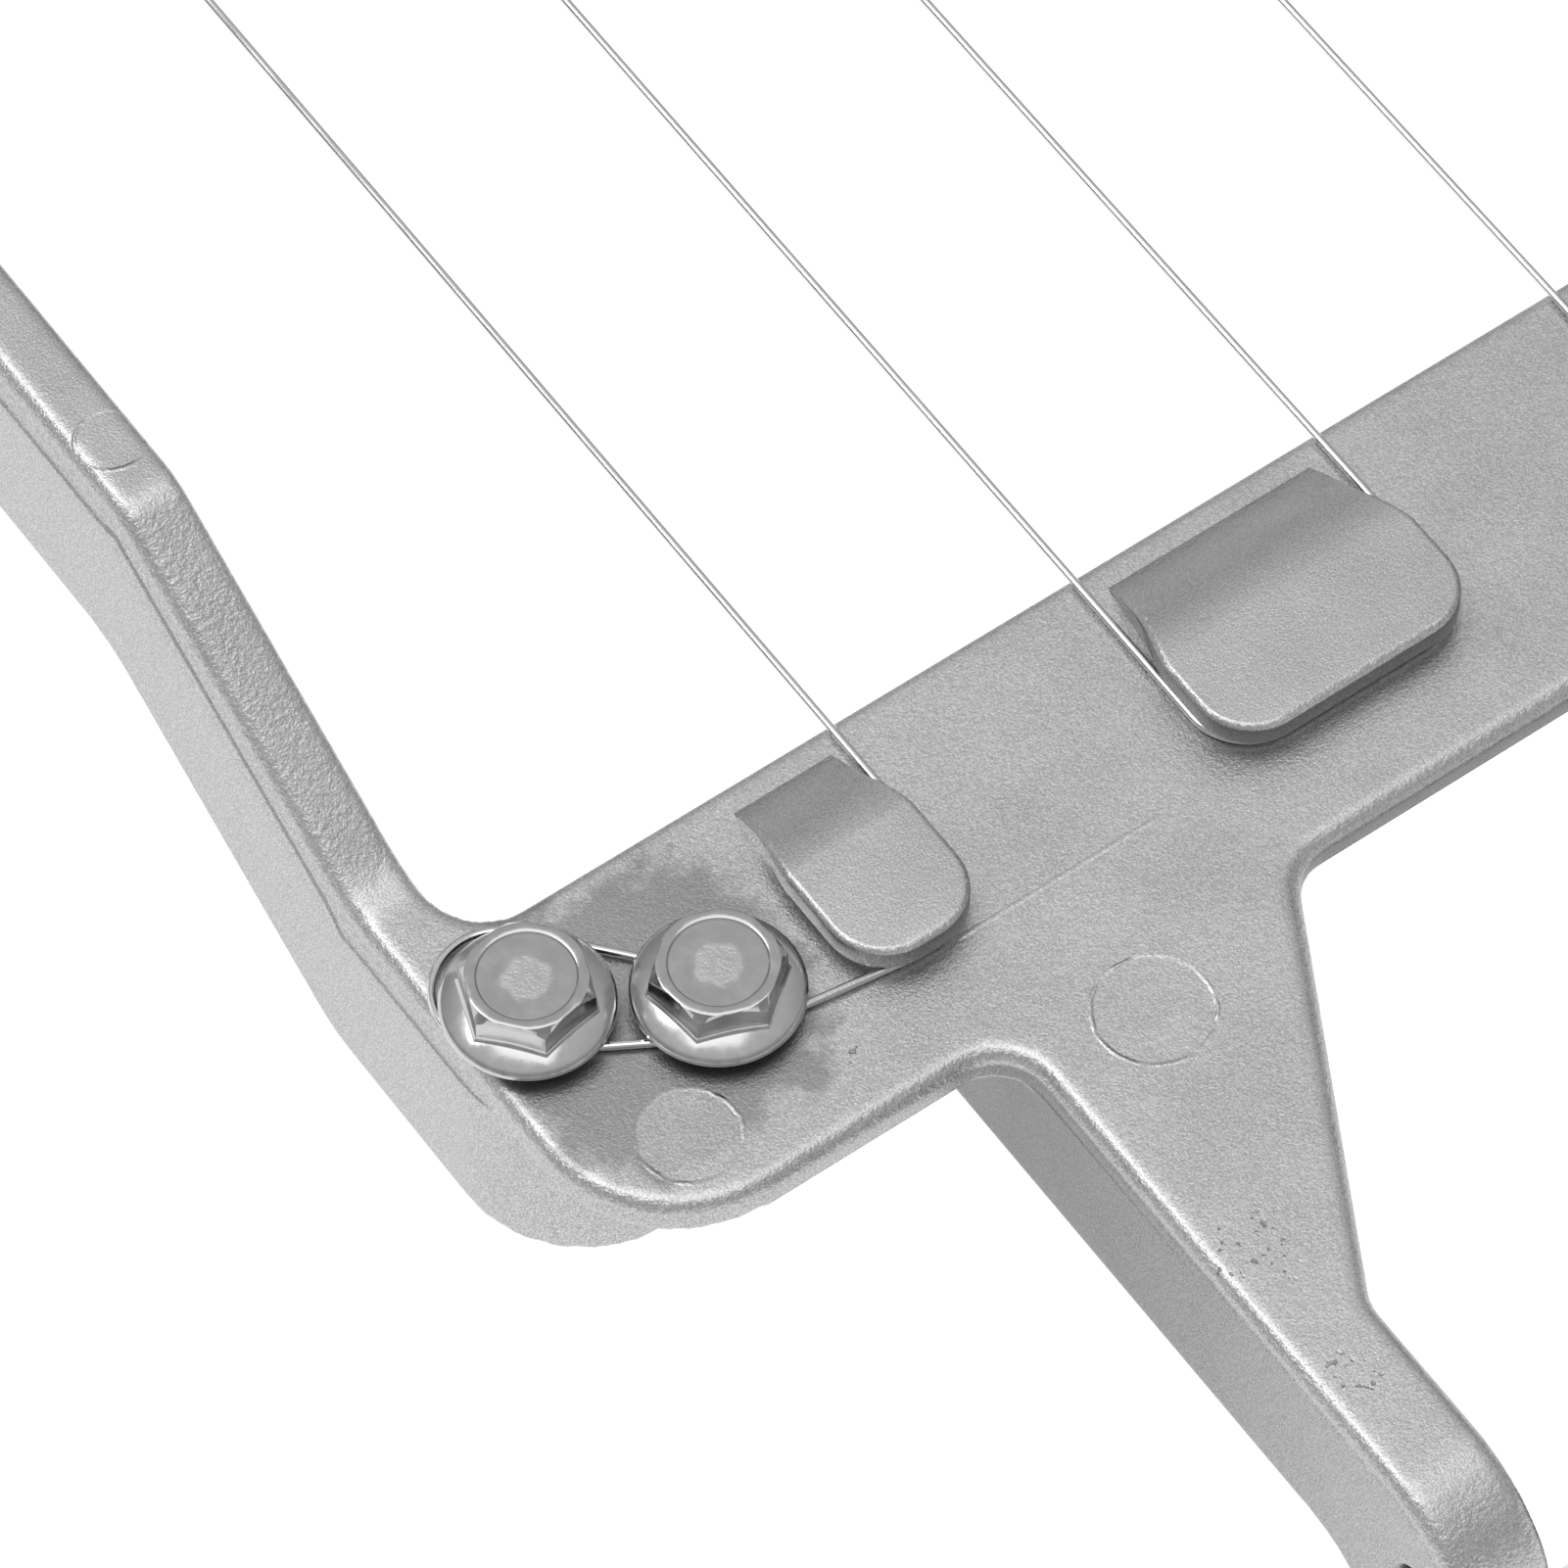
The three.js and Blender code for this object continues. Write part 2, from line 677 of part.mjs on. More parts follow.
// Sheet that closes the plinth from below
function bottomCover() {
  const sheet = rectangle(plinthHalf - 1, -plinthRear + 1, plinthFront - 1, plinthCorner - 1);
  const holes = feet.map(([, x, y]) => moved(rod(screwRadius + gap, 0, footHeight * 2, 16), x, y, 0));
  return toGeometry(cut(toSolid(plate(sheet, footHeight, footHeight + coverThickness)), holes));
}

// Moulded foot with a recess for its screw's head
function foot(x, y) {
  const recess = footHeight / 2;
  const hole = screwRadius + gap;
  const profile = [
    [screwHeadRadius + 2 * gap, 0],
    [footTread, 0],
    [footRadius, footHeight - gap],
    [hole, footHeight - gap],
    [hole, recess],
    [screwHeadRadius + 2 * gap, recess],
    [screwHeadRadius + 2 * gap, 0],
  ];
  return moved(turned(profile), x, y, 0);
}

function footScrew(x, y) {
  const head = footHeight / 2 - gap;
  const profile = [
    [0, head - screwHeadHeight],
    [screwHeadRadius * 0.8, head - screwHeadHeight],
    [screwHeadRadius, head - screwHeadHeight * 0.6],
    [screwHeadRadius, head],
    [screwRadius, head],
    [screwRadius, screwTop],
    [0, screwTop],
  ];
  return moved(turned(profile, 16), x, y, 0);
}

// Rubber stop that the closed arm's rail comes down on
function stopBumper(side) {
  const top = hingeZ - railDepth / 2 - gap;
  const profile = [
    [0, plinthTop - plinthWall],
    [bumperStemRadius, plinthTop - plinthWall],
    [bumperStemRadius, plinthTop + gap],
    [bumperRadius, plinthTop + gap],
    [bumperRadius, top - bumperEdge],
    [bumperRadius - bumperEdge, top],
    [0, top],
  ];
  return moved(turned(profile), side * (railInner + railWidth / 2), bumperFromHinge, 0);
}

addPiece('base_casting', baseCasting(), ...castAluminium);
addPiece('bottom_cover', bottomCover(), ...paleSteel);
feet.forEach(([corner, x, y]) => {
  addPiece(`foot_${corner}`, foot(x, y), ...blackRubber);
  addPiece(`foot_screw_${corner}`, footScrew(x, y), ...paleSteel);
});

// Hinge: one rod through the lugs and the arm's eyes, flanged bushes in the eyes, caps on the ends
const rodEnd = eyeOuter + gap + capLength - capCrown;
addPiece('hinge_rod', moved(rodAcross(hingeRodRadius, -rodEnd, rodEnd), 0, 0, hingeZ), ...paleSteel);
sides.forEach((side) => {
  const hand = side < 0 ? 'left' : 'right';
  const bore = hingeRodRadius + gap;
  const bush = hingeRodRadius + gap + bushWall;
  const flangeFace = railInner - gap - bushFlange;
  const bushProfile = [
    [bore, flangeFace],
    [bushFlangeRadius, flangeFace],
    [bushFlangeRadius, railInner - gap],
    [bush, railInner - gap],
    [bush, eyeOuter],
    [bore, eyeOuter],
    [bore, flangeFace],
  ];
  addPiece(`hinge_bush_${hand}`, moved(turnedAcross(bushProfile, side), 0, 0, hingeZ), ...whiteNylon);
  const capFace = eyeOuter + gap;
  const capEnd = capFace + capLength;
  const capProfile = [
    [bore, capFace],
    [capRadius + capRim, capFace],
    [capRadius + capRim, capFace + capRim],
    [capRadius, capFace + capRim],
    [capRadius, capEnd - capCrown],
    [capCrownRadius, capEnd - capCrown / 5],
    [0, capEnd],
    [0, rodEnd + gap],
    [bore, rodEnd + gap],
    [bore, capFace],
  ];
  addPiece(`hinge_cap_${hand}`, moved(turnedAcross(capProfile, side), 0, 0, hingeZ), ...paleSteel);
  addPiece(`stop_bumper_${hand}`, stopBumper(side), ...blackRubber);
});

export default part;
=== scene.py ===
import json
import math

import bmesh
import bpy
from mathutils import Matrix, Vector
from mathutils.geometry import tessellate_polygon


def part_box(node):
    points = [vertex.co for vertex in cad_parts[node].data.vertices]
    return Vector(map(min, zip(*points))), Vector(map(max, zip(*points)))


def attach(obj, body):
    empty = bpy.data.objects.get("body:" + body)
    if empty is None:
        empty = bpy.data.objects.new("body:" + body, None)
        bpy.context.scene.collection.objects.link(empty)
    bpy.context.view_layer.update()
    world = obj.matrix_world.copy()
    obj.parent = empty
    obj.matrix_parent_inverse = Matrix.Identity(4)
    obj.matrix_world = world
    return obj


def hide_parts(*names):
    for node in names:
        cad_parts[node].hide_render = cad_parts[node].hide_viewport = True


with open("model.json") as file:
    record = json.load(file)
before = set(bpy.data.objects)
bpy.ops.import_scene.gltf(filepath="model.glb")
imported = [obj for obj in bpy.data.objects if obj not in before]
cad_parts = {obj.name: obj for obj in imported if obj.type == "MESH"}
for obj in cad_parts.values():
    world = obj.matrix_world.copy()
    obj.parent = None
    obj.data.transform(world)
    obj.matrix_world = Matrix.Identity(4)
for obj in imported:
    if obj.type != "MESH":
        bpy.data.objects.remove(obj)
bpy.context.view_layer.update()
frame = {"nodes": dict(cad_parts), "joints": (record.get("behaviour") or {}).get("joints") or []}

# Arm casting
# One die casting in bead-blasted aluminium: two rails that step down to a near crossbar, ribs under
# both crossbars, handle prongs with gussets, and hinge eyes. The die rounds every edge and corner.
# It is drawn in millimetres from the near crossbar: y = 0 is its inner edge, z = 0 its bolted face.
MM = 0.001
hinge = Vector(frame["joints"][0]["pos_m"])
hinge_y = 245.0
hinge_above_plate = 7.0

# Crossbars, with the rounded corners of their plates and the ribs under them
wire_span = 200.0
crossbar = 26.0
far_edge = wire_span + crossbar
plate = 2.6
plate_corner = 10.5
inner_corner = 4.8
far_corner = 4.0
rib_front = -16.6
rib_width = 5.3
rib_outer_corner = 9.6
rib_inner_corner = 4.3
far_rib = far_edge - 9.4
far_rib_top = -0.4

# Rails, with a ramp at the near end and a small ledge below the upper edge. A lowered ramp shifts by
# ledge_shift for each millimetre of its drop, which keeps it parallel to the upper one
rail_in = 98.7
rail_out = 104.0
rail_depth = 17.0
rail_rise = 15.5
rail_lap = 2.0
ramp_foot = 6.5
ramp_head = 32.0
ramp_foot_bend = 9.0
ramp_head_bend = 4.0
under_ramp_shift = 2.0
under_ramp_bend = 8.0
far_step = 4.0
ledge = 0.5
ledge_drop = 2.4
ledge_lap = 1.0
ledge_shift = 0.27
rim = 0.55
plate_back = ramp_foot + 3.0

# Prongs, each with a gusset at its root and a leg below its elbow
prong_out = 74.0
prong_in = 67.0
prong_depth = 14.5
prong_tip = -75.2
prong_root = rib_front + 1.0
prong_root_corner = 4.0
gusset_end = -55.0
gusset_width = 16.0
gusset_corner = 4.0
leg_width = 9.2
leg_drop = 34.85
leg_bend = 7.0
leg_end_corner = 3.6
elbow_radius = 9.2
pin_hole = (-70.2, -9.5, 2.5)
grip_hole = (-70.1, -25.5, 1.8)

# Hinge eyes and the bosses under the bolts
eye_radius = 8.5
eye_bore = 5.3
eye_out = rail_out + 2.7
bolt_places = ((98.4, -6.7), (87.8, -13.0))
boss_radius = 5.0
boss_low = -10.0
boss_top = -1.0

# Cell size and smoothing passes give the die's radii, and the swell gives back what they take off
cast_cell = 0.36
cast_passes = 8
cast_swell = 0.12


def on_arm(x, y, z):
    return hinge + Vector((x, y - hinge_y, z - hinge_above_plate)) * MM


def beside_arm(y, z, x):
    return on_arm(x, y, z)


def rounded(corners, steps=10):
    """Outline through the corners (u, v, radius), each rounded by its radius in equal steps."""
    outline = []
    for i, (u, v, radius) in enumerate(corners):
        corner = Vector((u, v))
        if radius == 0:
            outline.append(corner)
            continue
        before = (Vector(corners[i - 1][:2]) - corner).normalized()
        after = (Vector(corners[(i + 1) % len(corners)][:2]) - corner).normalized()
        half = before.angle(after) / 2
        centre = corner + (before + after).normalized() * (radius / math.sin(half))
        start = corner + before * (radius / math.tan(half)) - centre
        end = corner + after * (radius / math.tan(half)) - centre
        sweep = start.angle_signed(end)
        first = math.atan2(start.y, start.x)
        for k in range(steps + 1):
            angle = first - sweep * k / steps
            outline.append(centre + Vector((math.cos(angle), math.sin(angle))) * radius)
    return outline


def mirrored(corners):
    return corners + [(-u, v, radius) for u, v, radius in reversed(corners)]


def circle(u, v, radius, steps=40):
    turns = [2 * math.pi * k / steps for k in range(steps)]
    return [Vector((u + radius * math.cos(t), v + radius * math.sin(t))) for t in turns]


def prism(bm, outline, low, high, place, holes=()):
    """Closed solid with an outline and holes, between two levels; place puts (u, v, level) in the frame."""
    loops = [outline, *holes]
    flat = [point for loop in loops for point in loop]
    ends = [[bm.verts.new(place(u, v, level)) for u, v in flat] for level in (low, high)]
    for ring in ends:
        if holes:
            for corners in tessellate_polygon([[Vector((u, v, 0)) for u, v in loop] for loop in loops]):
                bm.faces.new([ring[i] for i in corners])
        else:
            bm.faces.new(ring)
    first = 0
    for loop in loops:
        for i in range(len(loop)):
            a = first + i
            b = first + (i + 1) % len(loop)
            bm.faces.new((ends[0][a], ends[0][b], ends[1][b], ends[1][a]))
        first += len(loop)


def upright(bm, outline, side, near, far, place, holes=()):
    """Prism that stands on one side (-1 or 1), between two distances from the middle."""
    low, high = sorted((side * near, side * far))
    prism(bm, outline, low, high, place, holes)


def finished(name, bm, material, body, nodes, at=(0, 0, 0), turn=0.0, sharp=24):
    """Turns the drawn solids into a piece that rides on its body in place of the CAD nodes."""
    bmesh.ops.recalc_face_normals(bm, faces=bm.faces)
    mesh = bpy.data.meshes.new(name)
    bm.to_mesh(mesh)
    bm.free()
    mesh.shade_smooth()
    mesh.set_sharp_from_angle(angle=math.radians(sharp))
    piece = bpy.data.objects.new(name, mesh)
    bpy.context.scene.collection.objects.link(piece)
    piece.data.materials.append(material)
    piece.location = at
    piece.rotation_euler = (0, 0, turn)
    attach(piece, body)
    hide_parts(*nodes)
    return piece


def rail_outline(drop):
    """Side of a rail, with its upper edge lowered by the drop."""
    low = rail_rise - rail_depth
    shift = drop * ledge_shift
    return rounded([
        (hinge_y, rail_rise - drop, 0),
        (ramp_head + shift, rail_rise - drop, ramp_head_bend),
        (ramp_foot + shift, -drop, ramp_foot_bend),
        (-rail_lap, -drop, 0),
        (-rail_lap, -rail_depth, 0),
        (ramp_foot + under_ramp_shift, -rail_depth, under_ramp_bend),
        (ramp_head + under_ramp_shift, low, under_ramp_bend),
        (wire_span - far_step, low, 0),
        (wire_span, -plate - drop, 0),
        (far_edge - far_step, -plate - drop, 0),
        (far_edge, low, 0),
        (hinge_y, low, 0),
    ])


def near_outline(inset):
    """Outer edge of the near crossbar with its prongs and gussets, drawn in by the inset."""
    edge = ledge + inset
    front = inset - crossbar
    prong_end = prong_tip + elbow_radius
    return rounded(mirrored([
        (-rail_out + edge, plate_back, 0),
        (-rail_out + edge, front, plate_corner - inset),
        (-prong_out + inset, front, prong_root_corner + inset),
        (-prong_out + inset, prong_end, 0),
        (-prong_in - inset, prong_end, 0),
        (-prong_in - inset, gusset_end, gusset_corner),
        (-prong_in + gusset_width - inset, front, gusset_corner),
    ]))


def prong_outline(drop):
    """Side of a prong with its elbow and leg, with its upper edge lowered by the drop."""
    return rounded([
        (prong_root, -drop, 0),
        (prong_root, -prong_depth, 0),
        (prong_tip + leg_width, -prong_depth, leg_bend),
        (prong_tip + leg_width, -leg_drop, leg_end_corner),
        (prong_tip + drop, -leg_drop, leg_end_corner),
        (prong_tip + drop, -drop, elbow_radius - drop),
    ])


bm = bmesh.new()
inner_edge = rounded([
    (rail_in, plate_back, 0),
    (rail_in, 0, inner_corner),
    (-rail_in, 0, inner_corner),
    (-rail_in, plate_back, 0),
])
prism(bm, near_outline(0) + inner_edge, -plate, -rim, on_arm)
prism(bm, near_outline(rim) + inner_edge, -plate, 0, on_arm)
far_plate = mirrored([(-rail_out, wire_span, far_corner), (-rail_out, far_edge, far_corner)])
prism(bm, rounded(far_plate), -plate, 0, on_arm)
rib_outer = mirrored([(-rail_out, ramp_foot, 0), (-rail_out, rib_front, rib_outer_corner)])
rib_inner = mirrored([(-rail_in, ramp_foot, 0), (-rail_in, rib_front + rib_width, rib_inner_corner)])
near_rib = rounded(rib_outer) + rounded(rib_inner)[::-1]
prism(bm, near_rib, -rail_depth, -ledge_drop, on_arm)
far_bar = mirrored([(-rail_out, far_rib - rib_width, 0), (-rail_out, far_rib, 0)])
prism(bm, rounded(far_bar), -rail_depth, far_rib_top, on_arm)
prong_holes = [circle(*pin_hole), circle(*grip_hole)]
eye = circle(hinge_y, hinge_above_plate, eye_radius)
bore = circle(hinge_y, hinge_above_plate, eye_bore)
for side in (-1, 1):
    upright(bm, rail_outline(0), side, rail_in, rail_out - ledge - rim, beside_arm)
    upright(bm, rail_outline(rim), side, rail_in, rail_out - ledge, beside_arm)
    upright(bm, rail_outline(ledge_drop), side, rail_in + ledge_lap, rail_out, beside_arm)
    upright(bm, prong_outline(rim), side, prong_in, prong_out, beside_arm, prong_holes)
    upright(bm, prong_outline(0), side, prong_in + rim, prong_out - rim, beside_arm, prong_holes)
    upright(bm, eye, side, rail_in, eye_out, beside_arm, [bore])
    for x, y in bolt_places:
        prism(bm, circle(side * x, y, boss_radius), boss_low, boss_top, on_arm)


def add(tree, kind, values=None, **settings):
    """New node with its settings, and its inputs set to the given values or linked to the given sockets."""
    node = tree.nodes.new(kind)
    for key, value in settings.items():
        setattr(node, key, value)
    for key, value in (values or {}).items():
        if isinstance(value, bpy.types.NodeSocket):
            tree.links.new(value, node.inputs[key])
        else:
            node.inputs[key].default_value = value
    return node


def calc(tree, operation, a, b=0.0):
    return add(tree, "ShaderNodeMath", {0: a, 1: b}, operation=operation).outputs[0]


def times(tree, a, b):
    return calc(tree, "MULTIPLY", a, b)


def plus(tree, base, extra, share):
    """The base with a share of the extra added."""
    return calc(tree, "ADD", base, times(tree, extra, share))


def distance_to(tree, value, place):
    return calc(tree, "ABSOLUTE", calc(tree, "SUBTRACT", value, place))


def vector_calc(tree, operation, a, b=(0, 0, 0), out=0):
    return add(tree, "ShaderNodeVectorMath", {0: a, 1: b}, operation=operation).outputs[out]


def fade(tree, value, low, high, to_low=0.0, to_high=1.0):
    """Smooth step of a value from one range to another."""
    ranges = {"Value": value, "From Min": low, "From Max": high, "To Min": to_low, "To Max": to_high}
    return add(tree, "ShaderNodeMapRange", ranges, interpolation_type="SMOOTHSTEP").outputs[0]


def fade_out(tree, value, low, high):
    return fade(tree, value, low, high, 1.0, 0.0)


def spread(tree, cloud, to_low=0.0, to_high=1.0):
    """Stretches the middle of a noise, where most of its values lie, over a range."""
    return fade(tree, cloud, 0.3, 0.7, to_low, to_high)


def noise(tree, vector, scale, detail=2.0, rough=0.5):
    """Noise with so many grains to a metre, or to each unit of a vector that is scaled already."""
    settings = {"Vector": vector, "Scale": scale, "Detail": detail, "Roughness": rough}
    return add(tree, "ShaderNodeTexNoise", settings).outputs[0]


def blend(tree, share, first, second):
    return add(tree, "ShaderNodeMixRGB", {0: share, 1: first, 2: second}).outputs[0]


def grey(level):
    """A grey that is very slightly cool."""
    cool = 1.008
    return (level, level, level * cool, 1.0)


def shader(name):
    """New material, its tree, its Principled BSDF and the object's own coordinates."""
    material = bpy.data.materials.new(name)
    material.use_nodes = True
    tree = material.node_tree
    place = add(tree, "ShaderNodeTexCoord").outputs["Object"]
    return material, tree, tree.nodes["Principled BSDF"], place


def dress(tree, surface, tone, roughness, metallic=0.0):
    tree.links.new(tone, surface.inputs["Base Color"])
    tree.links.new(roughness, surface.inputs["Roughness"])
    surface.inputs["Metallic"].default_value = metallic


def bumped(tree, surface, height, distance=1.0):
    bump = add(tree, "ShaderNodeBump", {"Height": height, "Strength": 1.0, "Distance": distance})
    tree.links.new(bump.outputs[0], surface.inputs["Normal"])


def effect(name, inputs, outputs):
    """New node group with its sockets, all floats but for those named Vector or Centre."""
    tree = bpy.data.node_groups.new(name, "ShaderNodeTree")
    for way, labels in (("INPUT", inputs), ("OUTPUT", outputs)):
        for label in labels:
            kind = "NodeSocketVector" if label in ("Vector", "Centre") else "NodeSocketFloat"
            tree.interface.new_socket(label, in_out=way, socket_type=kind)
    return tree, tree.nodes.new("NodeGroupInput").outputs, tree.nodes.new("NodeGroupOutput").inputs


def use(tree, group, values):
    return add(tree, "ShaderNodeGroup", values, node_tree=group).outputs


# Blasting grain: fine bumps all over, and broad soft clouds of tone
grain, given, result = effect("blasting_grain", ["Vector", "Size"], ["Height", "Facets", "Cloud"])
per_metre = calc(grain, "DIVIDE", 1.0, given["Size"])
fine = noise(grain, given["Vector"], per_metre, 2.0, 0.6)
coarse = noise(grain, given["Vector"], times(grain, per_metre, 0.35), 1.0)
grain.links.new(plus(grain, times(grain, fine, 0.7), coarse, 0.3), result["Height"])
facets = noise(grain, given["Vector"], times(grain, per_metre, 1.3), 1.0)
grain.links.new(fade(grain, facets, 0.36, 0.64), result["Facets"])
grain.links.new(noise(grain, given["Vector"], 120.0, 4.0, 0.6), result["Cloud"])

# Ejector mark: a sunk disc with a ragged burr, left by a pin of the die
mark_edge = 0.30 * MM
burr_core = 0.03 * MM
burr_half = 0.20 * MM
mark, given, result = effect("ejector_mark", ["Vector", "Centre", "Radius"], ["Disc", "Burr"])
across = vector_calc(mark, "SUBTRACT", given["Vector"], given["Centre"])
across = vector_calc(mark, "MULTIPLY", across, (1, 1, 0))
beyond = calc(mark, "SUBTRACT", vector_calc(mark, "LENGTH", across, out="Value"), given["Radius"])
wavy = plus(mark, beyond, noise(mark, given["Vector"], 900.0), mark_edge)
mark.links.new(fade_out(mark, wavy, 0.0, mark_edge), result["Disc"])
line = fade_out(mark, distance_to(mark, wavy, mark_edge / 2), burr_core, burr_half)
broken = fade(mark, noise(mark, given["Vector"], 300.0, 3.0), 0.44, 0.60)
mark.links.new(times(mark, line, broken), result["Burr"])

# The arm's own coordinates, folded so that both halves carry the same marks
cast_metal, tree, surface, place = shader("blasted_aluminium")
sideways, lengthways, upward = add(tree, "ShaderNodeSeparateXYZ", {0: place}).outputs
from_middle = calc(tree, "ABSOLUTE", sideways)
folded = add(tree, "ShaderNodeCombineXYZ", {0: from_middle, 1: lengthways, 2: upward}).outputs[0]
facing = add(tree, "ShaderNodeNewGeometry").outputs["Normal"]
own_facing = add(tree, "ShaderNodeVectorTransform", {0: facing}, vector_type="NORMAL").outputs[0]
flatness = calc(tree, "ABSOLUTE", add(tree, "ShaderNodeSeparateXYZ", {0: own_facing}).outputs[2])

# Grain, coarser and pebbled on the slanted ramps and bends
grain_relief = 0.045 * MM
pebble_relief = 0.075 * MM
texture = use(tree, grain, {"Vector": place, "Size": 0.17 * MM})
slanted = times(tree, fade(tree, flatness, 0.15, 0.4), fade_out(tree, flatness, 0.88, 0.97))
coarser = plus(tree, 1.0, slanted, 0.9)
relief = times(tree, times(tree, texture["Height"], coarser), grain_relief)
pebbles = times(tree, noise(tree, place, 2700.0, 1.0), slanted)
relief = plus(tree, relief, pebbles, pebble_relief)

# Die line: a small step along the ledge, which climbs with the ramp and dies out along the prong
die_line_half = 0.25 * MM
die_line_relief = 0.18 * MM
die_line_start = on_arm(0, -52, 0).y
die_line_full = on_arm(0, -32, 0).y
ledge_level = add(tree, "ShaderNodeMapRange", {
    "Value": lengthways,
    "From Min": on_arm(0, ramp_foot, 0).y,
    "From Max": on_arm(0, ramp_head, 0).y,
    "To Min": on_arm(0, 0, -ledge_drop).z,
    "To Max": on_arm(0, 0, rail_rise - ledge_drop).z,
}).outputs[0]
above_ledge = calc(tree, "SUBTRACT", upward, ledge_level)
die_line = fade_out(tree, above_ledge, -die_line_half, die_line_half)
die_line = times(tree, die_line, fade(tree, lengthways, die_line_start, die_line_full))
relief = plus(tree, relief, die_line, die_line_relief)

# Ejector marks (x, y, radius) on the rail, the corner and the prong's root
ejector_marks = ((100.7, 37.0, 2.35), (95.2, -20.2, 3.5), (65.4, -29.9, 4.1))
disc_relief = -0.026 * MM
burr_relief = 0.070 * MM
oil_kept_off = 0.6
unmarked = 1.0
for x, y, radius in ejector_marks:
    pin = use(tree, mark, {"Vector": folded, "Centre": on_arm(x, y, 0), "Radius": radius * MM})
    relief = plus(tree, relief, pin["Disc"], disc_relief)
    relief = plus(tree, relief, pin["Burr"], burr_relief)
    unmarked = plus(tree, unmarked, pin["Disc"], -oil_kept_off)

# Seam, a faint straight line on the plate beside the end tab
seam_x = 64.5
seam_y = -18.2
seam_relief = 0.022 * MM
seam_line = fade_out(tree, distance_to(tree, lengthways, on_arm(0, seam_y, 0).y), 0.05 * MM, 0.22 * MM)
seam_ends = fade_out(tree, distance_to(tree, from_middle, seam_x * MM), 7.4 * MM, 8.2 * MM)
relief = plus(tree, relief, times(tree, seam_line, seam_ends), seam_relief)

# Oil stain round the bolts, with a ragged edge; it is thinner on the ejector marks
stain_x = 92.5
stain_y = -11.0
stain_full = 16.5 * MM
stain_end = 19.2 * MM
stain_wander = 14.0 * MM
from_bolts = vector_calc(tree, "DISTANCE", folded, on_arm(stain_x, stain_y, 0), "Value")
ragged = plus(tree, from_bolts, noise(tree, place, 210.0, 5.0, 0.65), stain_wander)
oil = times(tree, fade_out(tree, ragged, stain_full, stain_end), fade(tree, flatness, 0.8, 0.97))
oil = times(tree, oil, unmarked)

# Pits in spots (x, y, reach) where gas was trapped in the die
pit_spots = ((70.9, -48.0, 4.0), (71.4, -59.0, 2.6), (47.4, -13.5, 1.6), (83.0, -21.0, 1.2))
pit_relief = -0.05 * MM
pit_core = 0.6
pitted = 0.0
for x, y, reach in pit_spots:
    from_spot = vector_calc(tree, "DISTANCE", folded, on_arm(x, y, 0), "Value")
    pitted = calc(tree, "ADD", fade_out(tree, from_spot, reach * MM * pit_core, reach * MM), pitted)
hollows = fade(tree, noise(tree, place, 1900.0, 1.0), 0.63, 0.72)
pits = times(tree, pitted, hollows)
relief = plus(tree, relief, pits, pit_relief)

# Side walls: dull grains all over, and painted shade that darkens the prong's outer wall towards its root
near_root = fade(tree, lengthways, on_arm(0, -90, 0).y, on_arm(0, -24, 0).y)
beside_prong = fade_out(tree, from_middle, 75 * MM, 80 * MM)
# Painted shade: the prong's side wall grows darker towards the crossbar
painted_root_shade = times(tree, times(tree, near_root, beside_prong), 0.8)
dull_grains = fade(tree, texture["Facets"], 0.0, 1.0, 0.40, 0.0)
upright_wall = fade_out(tree, flatness, 0.1, 0.4)
shaded = times(tree, calc(tree, "ADD", painted_root_shade, dull_grains), upright_wall)

# Tone of the grains, then the stain, the walls with their dull grains and painted root shade, and the pits
# over it
cloud = texture["Cloud"]
light_tone = blend(tree, spread(tree, cloud), grey(0.61), grey(0.65))
dark_tone = blend(tree, spread(tree, cloud), grey(0.45), grey(0.49))
tone = blend(tree, texture["Facets"], dark_tone, light_tone)
tone = blend(tree, times(tree, oil, 0.6), tone, grey(0.22))
tone = blend(tree, shaded, tone, grey(0.2))
tone = blend(tree, times(tree, pits, 0.45), tone, grey(0.1))
dress(tree, surface, tone, spread(tree, cloud, 0.33, 0.39), metallic=1.0)
bumped(tree, surface, relief)

# The solids are welded into one casting, and its edges rounded as the die leaves them
arm_casting = finished("arm_casting", bm, cast_metal, "arm", ["arm_frame"])
weld = arm_casting.modifiers.new("one_casting", "REMESH")
weld.mode = "VOXEL"
weld.voxel_size = cast_cell * MM
weld.use_smooth_shade = True
round_off = arm_casting.modifiers.new("die_radii", "SMOOTH")
round_off.factor = 0.5
round_off.iterations = cast_passes
swell = arm_casting.modifiers.new("full_size", "DISPLACE")
swell.mid_level = 0.0
swell.strength = cast_swell * MM


# Hook tabs
# Cast lugs on both crossbars that the wire turns round: a ramp on the side of the wires, a post,
# and a lip that overhangs the wire. They belong to the casting but keep tighter edges.
wire_pitch = 20.0
near_tabs = (-2 * wire_pitch, 0.0, 2 * wire_pitch)
far_tabs = (-3 * wire_pitch, -wire_pitch, wire_pitch, 3 * wire_pitch)
tab_start = 1.7
tab_slope = 0.58
tab_front = 18.6
tab_groove = 1.2
tab_height = 3.2
tab_blend = 6.0
tab_root = -0.6
tab_corner = 4.3
tab_width = 20.6
tab_taper = 1.3
tab_flare = (5.2, 10.8)
lip_over = 0.7
least_over = 0.03
lip_edge = 0.5
end_tab_width = 10.2
end_tab_x = 74.8
end_tab_taper = 0.5
end_tab_flare = (3.8, 9.4)
foot_rows = 16
corner_rows = 10


def ramp_height(depth):
    """Height of a tab's top: a straight ramp that eases into the flat lip."""
    top_of_ramp = tab_start + tab_height / tab_slope
    along = (depth - (top_of_ramp - tab_blend / 2)) / tab_blend
    if along <= 0:
        return tab_slope * (depth - tab_start)
    eased = min(along, 1.0)
    start = tab_height - tab_slope * tab_blend / 2
    return start + tab_slope * tab_blend * (eased - eased * eased / 2)


